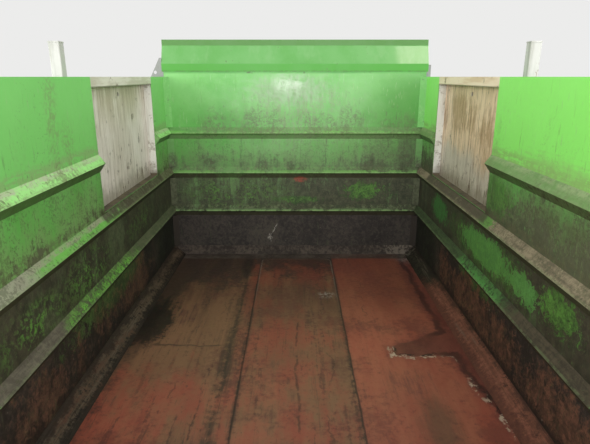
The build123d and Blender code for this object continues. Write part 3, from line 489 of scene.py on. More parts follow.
def floor_oxide():
    """Red oxide floor: worn clean on the right, olive and black on the left, dirt in the seams."""
    p = Paint("floor_oxide_worn")
    broad = p.noise(2.0, 4, 0.55)
    mid = p.noise(8.0, 6, 0.62)
    fine = p.noise(45.0, 6, 0.68)
    grit = p.noise(220.0, 3, 0.7)
    along = p.noise(11.0, 6, 0.66, stretch=(1, 0.12, 1))
    drag = p.noise(44.0, 5, 0.7, stretch=(1, 0.06, 1))
    smoke = p.noise(5.0, 8, 0.74, stretch=(1, 0.5, 1), shift=(3.0, 1.0, 5.0))
    left = p.rise(p.x, STRIP_LEFT + 0.01, STRIP_LEFT - 0.01)
    right = p.rise(p.x, COVER_RIGHT - 0.002, COVER_RIGHT + 0.002)
    middle = (1 - left) * (1 - right)
    near = p.rise(p.y, 0.75, 0.10)

    red = p.mix((118, 62, 46), (140, 76, 56), p.spread(broad * 0.3 + along * 0.4 + smoke * 0.3))
    red = p.mix(red, p.mix((156, 81, 62), (176, 99, 75), p.spread(along * 0.5 + smoke * 0.5)), near)
    olive = p.mix((90, 62, 46), (116, 84, 60), p.spread(along))
    olive = p.mix(olive, (146, 108, 78), near * 0.6)
    share = p.rise(
        along * 0.25 + smoke * 0.45 + broad * 0.3 + left * p.rise(p.y, -0.45, 0.35) * 0.22 + middle * 0.02,
        0.45, 0.59)
    p.colour = p.mix(red, olive, share * (right * -0.7 + 0.95))
    plum = p.rise(smoke * 0.6 + drag * 0.4, 0.54, 0.62)
    p.lay((98, 54, 50), plum * 0.5)
    p.lay((64, 50, 38), p.rise(drag * 0.7 + fine * 0.3, 0.44, 0.36) * (0.25 + left * 0.45 + middle * 0.25))
    lines = p.rise(p.noise(90.0, 4, 0.7, stretch=(1, 0.03, 1)) * 0.6 + smoke * 0.4, 0.56, 0.62)
    p.lay((58, 46, 38), lines * (left * 0.5 + middle * 0.35 + right * 0.12))
    rubbed = p.rise(smoke * 0.4 + drag * 0.6, 0.44, 0.36)
    p.lay((170, 98, 72), rubbed * near * 0.35)
    trails = p.rise(
        p.noise(26.0, 6, 0.72, stretch=(1, 0.08, 1), shift=(5.0, 8.0, 2.0)) * 0.7 + fine * 0.3, 0.54, 0.61)
    p.lay((62, 44, 38), trails * (0.12 + left * 0.38 + middle * 0.38))
    bruise = p.rise(smoke * 0.5 + fine * 0.5, 0.42, 0.35)
    p.lay((66, 48, 38), bruise * 0.6)
    blush = p.rise(p.noise(3.4, 7, 0.7, shift=(9.0, 3.0, 1.0)) * 0.7 + fine * 0.3, 0.5, 0.6)
    p.lay((94, 50, 44), blush * 0.45)
    p.lay((70, 50, 40), middle * p.band(p.y, 0.0, 0.6, 0.3) * 0.16)

    # black film: front end, left side and along the walls
    ahead = p.rise(p.y, 0.35, 1.28) * (0.62 - right * 0.25) + left * p.rise(p.y, 0.0, 0.8) * 0.24
    edge = p.rise(p.math("ABSOLUTE", p.x), 0.56, 0.74) * (left * 0.55 + right * 0.16)
    ahead = ahead + middle * p.rise(p.y, 0.55, 1.15) * 0.12
    oily = p.rise(ahead + edge + (mid * 0.4 + smoke * 0.3 + fine * 0.3 - 0.5) * 2.0, 0.34, 0.72)
    oily = oily * (0.9 - right * 0.3)
    p.lay((46, 40, 35), oily * 0.85)
    puddle_edge = (mid * 0.25 + smoke * 0.25 + fine * 0.3 + drag * 0.2 - 0.5) * 6.0
    puddle = p.blot((-0.68, 0.33, FLOOR), (0.09, 0.24, ACROSS), puddle_edge, 0.25)
    p.lay((30, 27, 25), puddle * 0.9)
    wheel = p.blot((0.5, -0.42, FLOOR), (0.06, 0.15, ACROSS), (mid * 0.5 + drag * 0.5 - 0.5) * 3.0, 0.6)
    p.lay((80, 66, 48), wheel * 0.6)

    # wet patch on the right plate, with dried white flecks at its edge
    jag = (p.noise(9.0, 5, 0.6) - 0.5) * 0.07 + (p.noise(34.0, 5, 0.65) - 0.5) * 0.035
    wall_side = p.x - (0.672 + p.rise(p.y, 0.02, -0.5) * 0.06)
    wedge = p.least(p.y - 0.026, 0.1 + (p.x - 0.42) * 0.56 - p.y, p.x - 0.42)
    field = p.most(wall_side, wedge) + jag
    wet = p.rise(field, -0.004, 0.010)
    stained = p.rise(field + (smoke - 0.5) * 0.12, -0.05, 0.01)
    p.lay((108, 58, 50), stained * 0.45)
    wet_colour = p.ramp((96, 52, 46), (126, 72, 60), smoke * 0.6 + fine * 0.4, 0.42, 0.58)
    p.lay(wet_colour, wet * 0.8)
    wet_rim = (p.band(field + (fine - 0.5) * 0.03, 0.004, 0.022, 0.016) * p.rise(p.x, 0.58, 0.66)
        * p.rise(smoke, 0.4, 0.52))
    p.lay((52, 34, 32), wet_rim * 0.65)
    crust_place = p.most(
        p.band(p.y, -0.03, 0.09, 0.02) * p.band(p.x, 0.42, 0.6, 0.04),
        p.band(p.y, -0.46, -0.16, 0.04) * p.rise(p.x, 0.6, 0.66))
    crumbs = p.rise(p.noise(60.0, 4, 0.7) * 0.6 + p.noise(24.0, 3, 0.6) * 0.4, 0.5, 0.54)
    crust = p.band(field, -0.014, 0.008, 0.006) * crumbs * crust_place
    rim_line = p.band(field, -0.003, 0.0, 0.002) * p.band(p.y, -0.02, 0.08, 0.02) * p.rise(fine, 0.46, 0.52)
    p.lay((40, 30, 27), p.band(field, 0.01, 0.022, 0.006) * crust_place * p.rise(fine, 0.48, 0.54) * 0.8)
    p.lay((196, 176, 152), p.most(crust, rim_line * 0.5) * p.rise(mid * 0.5 + smoke * 0.5, 0.38, 0.5) * 0.9)

    # scuffed front right corner and pale smears
    scuff = p.blot((0.74, 1.26, FLOOR), (0.1, 0.13, ACROSS), (fine - 0.5) * 3.0, 0.5)
    smear = p.blot((0.17, 0.64, FLOOR), (0.07, 0.05, ACROSS), (fine - 0.5) * 5.0, 0.4)
    p.lay((160, 152, 142), p.most(scuff * p.rise(fine, 0.44, 0.56), smear * p.rise(fine, 0.5, 0.56)) * 0.7)

    # dirt packed along the seams, and thin dark cracks
    ragged = (fine * 0.5 + mid * 0.5 - 0.5) * 0.02
    seam_right = p.band(p.x + ragged, COVER_RIGHT - 0.001, COVER_RIGHT + 0.003, 0.004)
    seam_left = p.band(p.x + ragged, COVER_LEFT - 0.003, COVER_LEFT + 0.001, 0.004)
    sway = (p.noise(6.0, 4, 0.6) - 0.5) * 0.03
    gritty = mid * 0.35 + fine * 0.5 + drag * 0.15
    strip_line = p.x + sway + (gritty - 0.5) * 0.05
    seam_strip = (p.band(strip_line, STRIP_LEFT - 0.011, STRIP_LEFT - 0.006, 0.007)
        * p.rise(smoke * 0.4 + fine * 0.3 + mid * 0.3, 0.4, 0.56)
        * p.rise(p.y, STRIP_FRONT + 0.3, STRIP_FRONT) * 0.75)
    clot = p.blot((STRIP_LEFT - 0.02, 1.08, FLOOR), (0.030, 0.16, ACROSS), puddle_edge, 0.3)
    seam_strip = p.most(seam_strip, clot * 0.9)
    crack = (p.band(p.x - (p.noise(5.0, 4) - 0.5) * 0.06, 0.01, 0.014, 0.005) * p.rise(p.y, 0.42, 0.34)
        * p.rise(mid, 0.42, 0.5))
    veins = []
    for place in (-0.46, -0.36, 0.13, 0.36):
        bent = p.x + (p.noise(3.0, 5, 0.6, shift=(place, 2.0, 1.0)) - 0.5) * 0.22
        broken = p.rise(p.noise(4.0, 3, 0.5, shift=(1.0, place, 0.0)), 0.5, 0.56)
        veins.append(p.band(bent, place, place + 0.002, 0.004) * broken)
    veins = p.most(*veins)
    across = (p.band(p.y + (p.noise(5.0, 5, 0.6) - 0.5) * 0.1, 0.112, 0.118, 0.006)
        * p.band(p.x, -0.62, -0.34, 0.03))
    halo_noise = p.rise(smoke * 0.35 + drag * 0.35 + fine * 0.3, 0.44, 0.56)
    halo_place = p.most(
        p.band(p.x, COVER_RIGHT - 0.004, COVER_RIGHT, 0.022),
        p.band(p.x, COVER_LEFT - 0.006, COVER_LEFT, 0.016),
        p.band(p.x, STRIP_LEFT - 0.03, STRIP_LEFT, 0.026))
    p.lay((54, 42, 34), halo_noise * halo_place * 0.6)
    seams = p.most(seam_right * 0.9, seam_left * 0.75, seam_strip, crack * 0.7, veins * 0.55, across * 0.7)
    p.lay((42, 33, 27), seams * 0.8)
    corner = 0.045
    across_cover = p.math("ABSOLUTE", p.x - 0.5 * (COVER_LEFT + COVER_RIGHT))
    past_side = p.most(across_cover - (0.5 * (COVER_RIGHT - COVER_LEFT) - corner), 0.0)
    past_end = p.most(p.y - (COVER_FRONT - 0.012 - corner), 0.0)
    reach = p.length(past_side, past_end)
    worn = (p.band(reach, corner - 0.007, corner - 0.003, 0.003) * p.rise(p.y, 0.3, 1.1)
        * p.rise(fine, 0.4, 0.55))
    p.lay((128, 120, 106), worn * 0.6)
    beyond = (p.rise(reach, corner - 0.002, corner + 0.003)
        * p.rise(p.y, COVER_FRONT - 0.08, COVER_FRONT - 0.06) * p.band(p.x, COVER_LEFT, COVER_RIGHT, 0.004))
    p.lay((46, 39, 34), beyond * 0.8)
    p.lay((62, 44, 36), p.rise(grit * 0.6 + fine * 0.4, 0.58, 0.64) * 0.5)
    p.lay((176, 132, 108), p.rise(grit * 0.6 + fine * 0.4, 0.4, 0.35) * near * 0.35)

    ledge = p.rise(p.y, COVER_FRONT - 0.004, COVER_FRONT + 0.004)
    ledge_colour = p.ramp((58, 50, 44), (98, 90, 80), mid * 0.4 + fine * 0.6, 0.44, 0.6)
    p.lay(ledge_colour, ledge * 0.85)
    under = p.rise(p.nz, -0.4, -0.6)
    p.lay(p.ramp((64, 62, 56), (96, 70, 54), mid, 0.45, 0.62), under)
    rough = 0.52 - wet * 0.14 - puddle * 0.1 + (fine - 0.5) * 0.3 - oily * 0.06
    height = (broad * 2.0 + mid * 0.4 + fine * 0.08 + grit * 0.015 + drag * 0.06 - veins * 0.1
        + seam_strip * 0.1)
    return p.finish(rough, height, depth=0.004, strength=0.6)


def kick_steel():
    """Foot strips: brown-black on the left, red-brown on the right, rubbed along the edges."""
    p = Paint("kick_strips_rubbed")
    mid = p.noise(9.0, 6, 0.65)
    fine = p.noise(55.0, 6, 0.7)
    grit = p.noise(200.0, 3, 0.7)
    along = p.noise(30.0, 5, 0.7, stretch=(1, 0.1, 1))
    smoke = p.noise(6.0, 8, 0.74, stretch=(1, 0.5, 1), shift=(2.0, 5.0, 1.0))
    right = p.rise(p.x, -0.1, 0.1)
    rugged = smoke * 0.35 + fine * 0.35 + along * 0.3
    p.colour = p.ramp((50, 41, 33), (100, 84, 68), rugged, 0.43, 0.58)
    thread = p.noise(120.0, 5, 0.7, stretch=(1, 0.05, 1))
    p.lay(
        p.mix((64, 54, 45), (104, 92, 77), p.spread(thread)),
        (1 - right) * p.rise(p.y, 0.9, 0.3) * p.rise(smoke * 0.4 + thread * 0.6, 0.46, 0.54) * 0.75)
    red = p.mix(
        p.mix((84, 56, 44), (104, 72, 56), fine),
        p.mix((112, 70, 55), (148, 93, 74), p.spread(fine * 0.5 + thread * 0.5)), right)
    red_share = p.rise(
        smoke * 0.5 + along * 0.3 + fine * 0.2 + right * 0.15 + p.rise(p.y, 0.6, -0.4) * 0.05, 0.54, 0.64)
    p.lay(red, red_share * p.rise(p.y + (smoke - 0.5) * 0.8, 1.0, 0.6) * 0.85)
    ahead = right * p.rise(p.y + (smoke - 0.5) * 0.8, 0.62, 0.85) * p.rise(p.y, FRONT - 0.02, FRONT - 0.026)
    p.lay(p.ramp((30, 29, 23), (50, 52, 38), fine, 0.45, 0.6), ahead * 0.85)
    p.lay((30, 26, 23), p.rise(smoke * 0.4 + mid * 0.3 + fine * 0.3, 0.48, 0.43) * 0.8)
    p.lay((110, 100, 86), p.rise(along, 0.58, 0.68) * 0.45)
    smudge = p.rise(smoke * 0.5 + along * 0.3 + fine * 0.2, 0.5, 0.42)
    p.lay((56, 43, 36), right * smudge * 0.65)
    top_edge = (1 - right) * p.band(p.z, KICK_TOP - 0.005, KICK_TOP - 0.001, 0.003)
    p.lay((104, 92, 76), top_edge * p.rise(mid * 0.5 + fine * 0.5, 0.47, 0.56) * 0.6)
    crusty = p.z + (mid * 0.4 + smoke * 0.3 + fine * 0.3 - 0.5) * 0.16
    p.lay(
        (42, 34, 29),
        p.rise(crusty - right * 0.008, KICK_TOP - 0.02, KICK_TOP - 0.006)
        * p.rise(p.y, FRONT - 0.03, FRONT - 0.04) * (0.8 - right * 0.1))
    p.lay(
        p.mix((92, 55, 45), (122, 75, 60), fine),
        right * p.rise(crusty, FLOOR + 0.03, FLOOR + 0.016) * p.rise(p.y, 0.95, 0.6) * 0.8)
    packed = p.z + (smoke * 0.5 + fine * 0.5 - 0.5) * 0.1
    p.lay((34, 29, 25), p.rise(packed, FLOOR + 0.024, FLOOR + 0.01) * (0.8 - right * 0.6))
    front_foot = p.rise(p.y, FRONT - 0.028, FRONT - 0.022)
    p.lay(p.mix((52, 46, 41), (88, 79, 71), p.spread(smoke * 0.5 + fine * 0.5)), front_foot * 0.9)
    front_strip = p.rise(p.ny * -1.0, 0.3, 0.5) * (1 - front_foot)
    p.lay(p.ramp((64, 58, 54), (92, 83, 77), rugged, 0.42, 0.58), front_strip * 0.6)
    corner = p.rise(p.x, 0.52, 0.66) * p.rise(p.y, 1.2, 1.28) * p.rise(smoke * 0.5 + fine * 0.5, 0.48, 0.56)
    p.lay((132, 124, 110), corner * 0.6)
    rough = 0.7 + (fine - 0.5) * 0.3
    return p.finish(rough, mid * 0.6 + fine * 0.2 + grit * 0.05, depth=0.003, strength=0.7, shine=0.2)


def corner_green():
    """Closing strips in the front corners, as green or as dirty as the walls beside them."""
    p = Paint("corner_strips_green")
    mid = p.noise(8.0, 6, 0.62)
    fine = p.noise(50.0, 5, 0.70)
    fall = p.noise(16.0, 6, 0.7, stretch=(1, 1, 0.15))
    wisp = p.noise(24.0, 6, 0.72, twist=2.0)
    green = p.mix((118, 194, 102), (142, 206, 126), p.spread(fall * 0.5 + wisp * 0.5))
    green = p.mix(green, (96, 132, 80), p.rise(p.z, 1.04, 0.98) * 0.6)
    low = p.rise(p.rise(p.z, 1.25, 0.62) + (mid * 0.5 + wisp * 0.5 - 0.5) * 1.8, 0.35, 0.85)
    p.colour = p.mix(green, p.ramp((74, 80, 58), (98, 104, 80), fine, 0.4, 0.6), low)
    p.lay((58, 52, 46), p.rise(p.z, 0.62, 0.5))
    p.lay((74, 76, 58), p.rise(fine * 0.5 + wisp * 0.5, 0.56, 0.62) * 0.55)
    rough = 0.4 + low * 0.25
    return p.finish(rough, mid * 0.5 + fine * 0.15, depth=0.003, strength=0.7)


def hatch_white():
    """White hatch leaves: yellowed, streaked brown from above, dirty towards the sill."""
    p = Paint("hatch_white_streaked")
    right = p.rise(p.x, -0.02, 0.02)
    inward = p.rise(p.nx * p.math("SIGN", p.x) * -1.0, 0.2, 0.5)
    broad = p.noise(3.0, 4, 0.55)
    mid = p.noise(12.0, 6, 0.62)
    fine = p.noise(60.0, 5, 0.68)
    fall = p.noise(52.0, 7, 0.74, stretch=(1, 1, 0.07))
    hair = p.noise(170.0, 5, 0.7, stretch=(1, 1, 0.06))
    smoke = p.noise(5.0, 8, 0.74, stretch=(1, 1, 0.5), shift=(7.0, 2.0, 3.0))
    white = p.ramp((246, 238, 230), (222, 212, 200), broad * 0.3 + smoke * 0.3 + fall * 0.4, 0.42, 0.58)
    beige = p.ramp((240, 212, 178), (212, 182, 146), smoke * 0.5 + fall * 0.5, 0.42, 0.58)
    beige = p.ramp(beige, (206, 196, 178), p.z + (smoke - 0.5) * 0.4, 1.06, 0.94)
    p.colour = p.mix(white, beige, right * inward * 0.95)
    worn_top = p.rise(p.z, 1.1, 1.34) * (1 - right) * inward
    p.lay((178, 160, 128), worn_top * p.rise(fall * 0.5 + smoke * 0.5 + 0.08, 0.44, 0.6) * 0.65)
    cloud = right * p.rise(smoke * 0.7 + fall * 0.3 + p.band(p.z, 1.14, 1.24, 0.08) * 0.1, 0.52, 0.64)
    p.lay((148, 106, 66), cloud * inward * 0.52)
    streak = p.rise(hair * 0.6 + fall * 0.4, 0.5, 0.6) * (0.36 + right * 0.44)
    p.lay((112, 84, 58), streak * inward * 0.75)
    rust = p.rise(mid + p.rise(p.z, 1.1, 0.85) * 0.08, 0.61, 0.67) * p.rise(fall, 0.45, 0.56)
    p.lay((90, 66, 46), rust * 0.8)
    dots = p.rise(p.cells(34.0, stretch=(1, 1, 0.5)), 0.15, 0.07)
    p.lay((84, 72, 54), dots * p.rise(mid, 0.48, 0.58) * 0.7)
    foot = inward * p.rise(p.z + (mid - 0.5) * 0.2, 0.93, 0.84)
    p.lay((118, 106, 86), foot * 0.6)
    p.lay(p.mix((196, 190, 180), (214, 208, 198), p.spread(smoke)), (1 - inward) * 0.75)
    film = p.rise(p.rise(p.z, 1.4, 0.8) + (mid - 0.5) * 1.2, 0.5, 1.0)
    p.lay((140, 138, 118), film * (1 - inward) * 0.5)
    rough = 0.36 + streak * 0.2 + (fine - 0.5) * 0.2
    return p.finish(p.dusty_top(rough), broad * 1.5 + mid * 0.3 + fine * 0.08, depth=0.003, strength=0.6)


def hatch_frames():
    """Jambs white, sill ledge black with dirt."""
    p = Paint("hatch_frames_dirty")
    mid = p.noise(14.0, 6, 0.64)
    fine = p.noise(70.0, 5, 0.7)
    fall = p.noise(20.0, 6, 0.7, stretch=(1, 1, 0.12))
    p.colour = p.ramp((234, 236, 226), (208, 208, 194), fall, 0.42, 0.64)
    p.lay((140, 130, 104), p.rise(mid * 0.6 + fine * 0.4, 0.52, 0.6) * 0.6)
    sill = p.rise(p.z, 0.852, 0.842)
    dirt = p.ramp((70, 64, 52), (104, 92, 72), mid * 0.5 + fine * 0.5, 0.42, 0.62)
    p.lay(dirt, sill)
    above = p.rise(p.z, 0.93, 0.85) * p.rise(mid, 0.35, 0.55)
    p.lay((112, 98, 76), above * 0.6)
    rough = 0.38 + sill * 0.35
    return p.finish(rough, mid * 0.4 + fine * 0.15, depth=0.002, strength=0.7)


def bar_cream():
    """Bars over the hatches: cream, with brown marks, dust on top and a painted shadow line along the bottom
    edge.
    """
    p = Paint("hatch_bars_cream")
    right = p.rise(p.x, -0.02, 0.02)
    mid = p.noise(18.0, 6, 0.66)
    fine = p.noise(80.0, 5, 0.7)
    along = p.noise(24.0, 5, 0.6, stretch=(1, 0.14, 1))
    white = p.ramp((236, 232, 218), (210, 204, 186), along, 0.42, 0.62)
    cream = p.ramp((246, 228, 200), (226, 200, 168), along, 0.42, 0.62)
    p.colour = p.mix(white, cream, right)
    p.lay((112, 92, 64), p.rise(mid + fine * 0.3, 0.74, 0.84) * 0.75)
    # painted shadow: a dark line along the bottom edge of the bar
    p.lay((74, 66, 50), p.rise(p.z, RIM - 0.034, RIM - 0.04) * 0.7)
    p.lay((168, 160, 138), p.rise(p.nz, 0.6, 0.9) * p.rise(mid, 0.4, 0.6) * 0.7)
    return p.finish(p.dusty_top(0.34 + mid * 0.2), mid * 0.4 + fine * 0.1, depth=0.0015, strength=0.6)


def post_white():
    """White posts and brackets with a few chips; the brackets at the front end are painted grey, darker than
    the posts, as painted shade.
    """
    p = Paint("posts_white")
    mid = p.noise(16.0, 6, 0.66)
    fall = p.noise(22.0, 5, 0.6, stretch=(1, 1, 0.12))
    fine = p.noise(90.0, 4, 0.7)
    p.colour = p.ramp((198, 199, 192), (176, 178, 168), fall, 0.44, 0.6)
    # painted shade: the brackets at the front end are painted grey, so that the lamps don't wash them out
    # white
    p.lay(p.mix((128, 132, 126), (150, 154, 148), fall), p.rise(p.y, 0.9, 1.0))
    p.lay((150, 144, 126), p.rise(p.rise(p.z, 1.2, 0.1) + (mid - 0.5) * 1.4, 0.5, 1.1) * 0.7)
    p.lay((122, 84, 58), p.rise(mid + fine * 0.3, 0.8, 0.86) * 0.8)
    return p.finish(0.3 + mid * 0.15, mid * 0.3 + fine * 0.08, depth=0.0012, strength=0.6)


def subframe_paint():
    """Dark grey frame paint under dust, with rust on the edges and lower sides."""
    p = Paint("subframe_dusty")
    broad = p.noise(3.0, 4, 0.55)
    mid = p.noise(15.0, 6, 0.66)
    fine = p.noise(90.0, 5, 0.7)
    p.colour = p.ramp((58, 60, 62), (76, 77, 76), broad, 0.4, 0.6)
    dust = p.rise(p.rise(p.nz, 0.2, 0.8) * 0.4 + (mid - 0.5) * 1.3, 0.2, 0.6)
    p.lay((124, 118, 102), dust * 0.65)
    rust = p.rise(mid * 0.7 + fine * 0.3, 0.58, 0.66)
    p.lay(p.mix((96, 56, 36), (128, 78, 48), fine), rust * 0.8)
    rough = 0.42 + dust * 0.3 + rust * 0.15
    return p.finish(rough, mid * 0.3 + fine * 0.15 + rust * 0.1, depth=0.0015, strength=0.7)


def bright_steel():
    """Ground pins and the chromed rod, with a thin film of grease."""
    p = Paint("pins_and_rod")
    fine = p.noise(120.0, 4, 0.6)
    mid = p.noise(20.0, 5, 0.6)
    p.colour = p.ramp((176, 176, 176), (148, 144, 136), mid, 0.42, 0.62)
    p.lay((72, 60, 44), p.rise(mid + fine * 0.3, 0.72, 0.82) * 0.7)
    rough = 0.18 + mid * 0.25
    return p.finish(rough, fine * 0.2, depth=0.0004, metal=0.9, strength=0.5)


def pad_rubber():
    p = Paint("rest_pads_rubber")
    mid = p.noise(30.0, 5, 0.6)
    fine = p.noise(160.0, 4, 0.7)
    p.colour = p.ramp((34, 34, 34), (64, 60, 54), mid, 0.46, 0.66)
    return p.finish(0.7 + fine * 0.15, mid + fine * 0.3, depth=0.001, strength=0.7)


def weld_paint(name, first, second, dirt):
    """Weld beads: ripples come from the mesh, colour from the paint over them."""
    p = Paint(name)
    mid = p.noise(25.0, 5, 0.65)
    fine = p.noise(140.0, 4, 0.7)
    p.colour = p.mix(first, second, p.spread(mid))
    p.lay(dirt, p.rise(fine, 0.48, 0.62) * 0.7)
    return p.finish(0.4 + mid * 0.3, fine, depth=0.0006, strength=0.6)


def amber_lens():
    """Amber side reflectors, with the small prisms behind the lens."""
    p = Paint("amber_lens")
    cell = p.cells(260.0)
    fine = p.noise(60.0, 4, 0.6)
    p.colour = p.ramp((206, 104, 24), (240, 150, 50), cell, 0.2, 0.5)
    p.lay((120, 100, 76), p.rise(fine, 0.5, 0.66) * 0.5)
    return p.finish(0.12 + fine * 0.2, cell, depth=0.0006, coat=0.6, strength=0.5)


posts = post_white()
subframe = subframe_paint()
paints = {
    tub_walls("tub_walls_worn", True): ("side_wall_left", "side_wall_right", "front_wall"),
    tub_walls("rear_cheeks_worn", False): ("rear_cheek_left", "rear_cheek_right"),
    corner_green(): ("corner_strips",),
    headboard_paint(): ("headboard",),
    outer_paint(): (
        "rim_rail_left", "rim_rail_right", "front_top_rail", "front_uprights", "rear_uprights",
        "lower_rails", "cheek_rails", "lip_beam", "chute_gussets", "headboard_ribs", "cross_bearers",
        "runners", "ram_top_bracket"),
    floor_oxide(): ("floor_plate_left", "floor_plate_right", "floor_cover", "floor_strip", "chute_plate"),
    kick_steel(): ("kick_front", "kick_sides"),
    hatch_white(): ("hatch_leaf_left", "hatch_leaf_right"),
    hatch_frames(): ("hatch_frame_left", "hatch_frame_right"),
    bar_cream(): ("hatch_bar_left", "hatch_bar_right"),
    posts: ("side_posts", "headboard_brackets"),
    subframe: (
        "subframe_rails", "cross_members", "hinge_brackets", "ram_base_bracket", "chassis_feet",
        "ram_barrel"),
    bright_steel(): ("hinge_pins", "ram_rod", "hatch_hinges"),
    pad_rubber(): ("rest_pads",),
}
for material, names in paints.items():
    for name in names:
        slots = nodes[name].material_slots
        if not slots:
            nodes[name].data.materials.append(material)
        for slot in slots:
            slot.material = material

# Welds and fittings. Places in metres, read off the frame.

WALL_OUT, RAIL_OUT = 0.803, 0.843
FRONT_OUT = 1.3265
NOTCH_REAR, NOTCH_FRONT = 0.1735, 1.0235
RAIL = 0.04
RAIL_FOOT = RIM - RAIL
POST_TOP = RIM + 0.12
LOWER_TOP = 0.2603
RUNNER_TOP, RUNNER_X = 0.1903, 0.370
CHUTE_TOP, CHUTE_EDGE, CHUTE_X = -1.3465, 0.7287, 0.7975
MEMBER_X, FOOT_X = 0.3942, 0.401
HINGE_Y, HINGE_Z = -1.2565, 0.1503
HATCH_X, HATCH_Z = 0.8745, 0.7943
HATCH_STATIONS = (0.3035, 0.8935)
LEAF_FACE, LATCH_FACE, LATCH_Z = 0.8715, 0.874, 1.3668
SEAM_X, SEAM_FRONT = 0.8048, 1.3283
BEARERS = [CHUTE_FOOT + 0.06 + 0.36 * i for i in range(6)]
FLAT_SPANS = ((0.2620, 0.5083), (0.5803, 0.7583), (0.8303, 1.0083), (1.0803, RAIL_FOOT))
SIDES = (-1, 1)


def settle(name, shape, material, body):
    """Turn a finished bmesh into a piece that rides on a body."""
    bmesh.ops.recalc_face_normals(shape, faces=shape.faces)
    mesh = bpy.data.meshes.new(name)
    shape.to_mesh(mesh)
    shape.free()
    for polygon in mesh.polygons:
        polygon.use_smooth = True
    mesh.set_sharp_from_angle(angle=radians(38))
    mesh.materials.append(material)
    item = bpy.data.objects.new(name, mesh)
    bpy.context.scene.collection.objects.link(item)
    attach(item, body)
    return item


def ring(shape, centre, radius, aside, other, sides):
    return [shape.verts.new(centre + radius * (cos(turn) * aside + sin(turn) * other))
            for turn in (2 * pi * step / sides for step in range(sides))]


def skin(shape, rings):
    """Faces from ring to ring, closed at both ends."""
    for one, two in zip(rings, rings[1:]):
        for step in range(len(one)):
            after = (step + 1) % len(one)
            shape.faces.new((one[step], one[after], two[after], two[step]))
    shape.faces.new(rings[0])
    shape.faces.new(rings[-1])


def tube(shape, points, radii, sides=8):
    """A round bar through points, closed at both ends. radii is one radius, or one for each point."""
    points = [Vector(point) for point in points]
    radii = [radii] * len(points) if isinstance(radii, float) else radii
    overall = points[-1] - points[0]
    bend = max((overall.cross(point - points[0]) for point in points), key=lambda way: way.length)
    aside = bend.normalized() if bend.length > 1e-9 else overall.orthogonal().normalized()
    rings = []
    for i, (point, radius) in enumerate(zip(points, radii)):
        heading = (points[min(i + 1, len(points) - 1)] - points[max(i - 1, 0)]).normalized()
        rings.append(ring(shape, point, radius, aside, heading.cross(aside).normalized(), sides))
    skin(shape, rings)


def bead(shape, start, end, size=0.0034):
    """A weld bead along a seam, laid in overlapping ripples of uneven size."""
    start, end = Vector(start), Vector(end)
    count = max(5, round((end - start).length / 0.0045))
    points = [start.lerp(end, i / count) for i in range(count + 1)]
    radii = [
        size * (1 + 0.09 * sin(2.4 * i + 50 * start.x) + 0.07 * sin(0.37 * i + 9 * start.y) + 0.16 * (i % 2))
        for i in range(count + 1)]
    radii[0] *= 0.5
    radii[-1] *= 0.5
    tube(shape, points, radii, 6)


def side_bead(shape, x, start, end, size=0.0034):
    """A weld bead in the plane at x, between two (y, z) places."""
    bead(shape, (x, *start), (x, *end), size)


def turned(shape, place, axis, profile, sides=20):
    """A turned or hexagonal part. profile has (radius, distance along the axis) pairs from end to end."""
    axis = Vector(axis).normalized()
    aside = axis.orthogonal().normalized()
    skin(shape, [
        ring(shape, Vector(place) + axis * reach, radius, aside, axis.cross(aside), sides)
        for radius, reach in profile])


def plate(shape, low, high, bevel=0.0015):
    """A flat block between two opposite corners, with its edges taken off."""
    low, high = Vector(tuple(map(min, low, high))), Vector(tuple(map(max, low, high)))
    made = bmesh.ops.create_cube(shape, size=1.0)["verts"]
    bmesh.ops.scale(shape, vec=high - low, verts=made)
    bmesh.ops.translate(shape, vec=(low + high) / 2, verts=made)
    edges = {edge for vert in made for edge in vert.link_edges}
    bmesh.ops.bevel(shape, geom=list(edges), offset=bevel, segments=2, affect="EDGES")


def bolt(shape, place, out, across=0.013):
    """A hexagon head on its washer."""
    turned(shape, place, out, ((across * 0.95, 0.0), (across * 0.95, 0.0012), (across * 0.9, 0.0016)), 18)
    head = ((0.55 * across, 0.0016), (0.55 * across, 0.45 * across), (0.5 * across, 0.52 * across))
    turned(shape, place, out, (*head, (0.001, 0.53 * across)), 6)


def rivet(shape, place, out, radius=0.006):
    dome = ((1, 0), (0.92, 0.28), (0.66, 0.48), (0.2, 0.56))
    turned(shape, place, out, [(radius * wide, radius * high) for wide, high in dome], 16)


def cotter(shape, place, axis, size=0.006):
    """A split pin through a pin end: its eye on one side, its bent legs on the other."""
    place, axis = Vector(place), Vector(axis)
    up = Vector((0, 0, 1)) if abs(axis.z) < 0.5 else Vector((0, 1, 0))
    loop = [place + up * (size * (1.9 + cos(turn))) + axis * (0.45 * size * sin(turn))
            for turn in (pi + 2 * pi * step / 12 for step in range(1, 12))]
    tube(shape, [place - up * size, place + up * size, *loop, place + up * size], 0.0011, 6)
    for lean in SIDES:
        tube(shape, [place - up * size, place - up * (1.5 * size) + axis * (0.15 * size * lean),
                     place - up * (2.2 * size) + axis * (0.55 * size * lean)], 0.0010, 6)


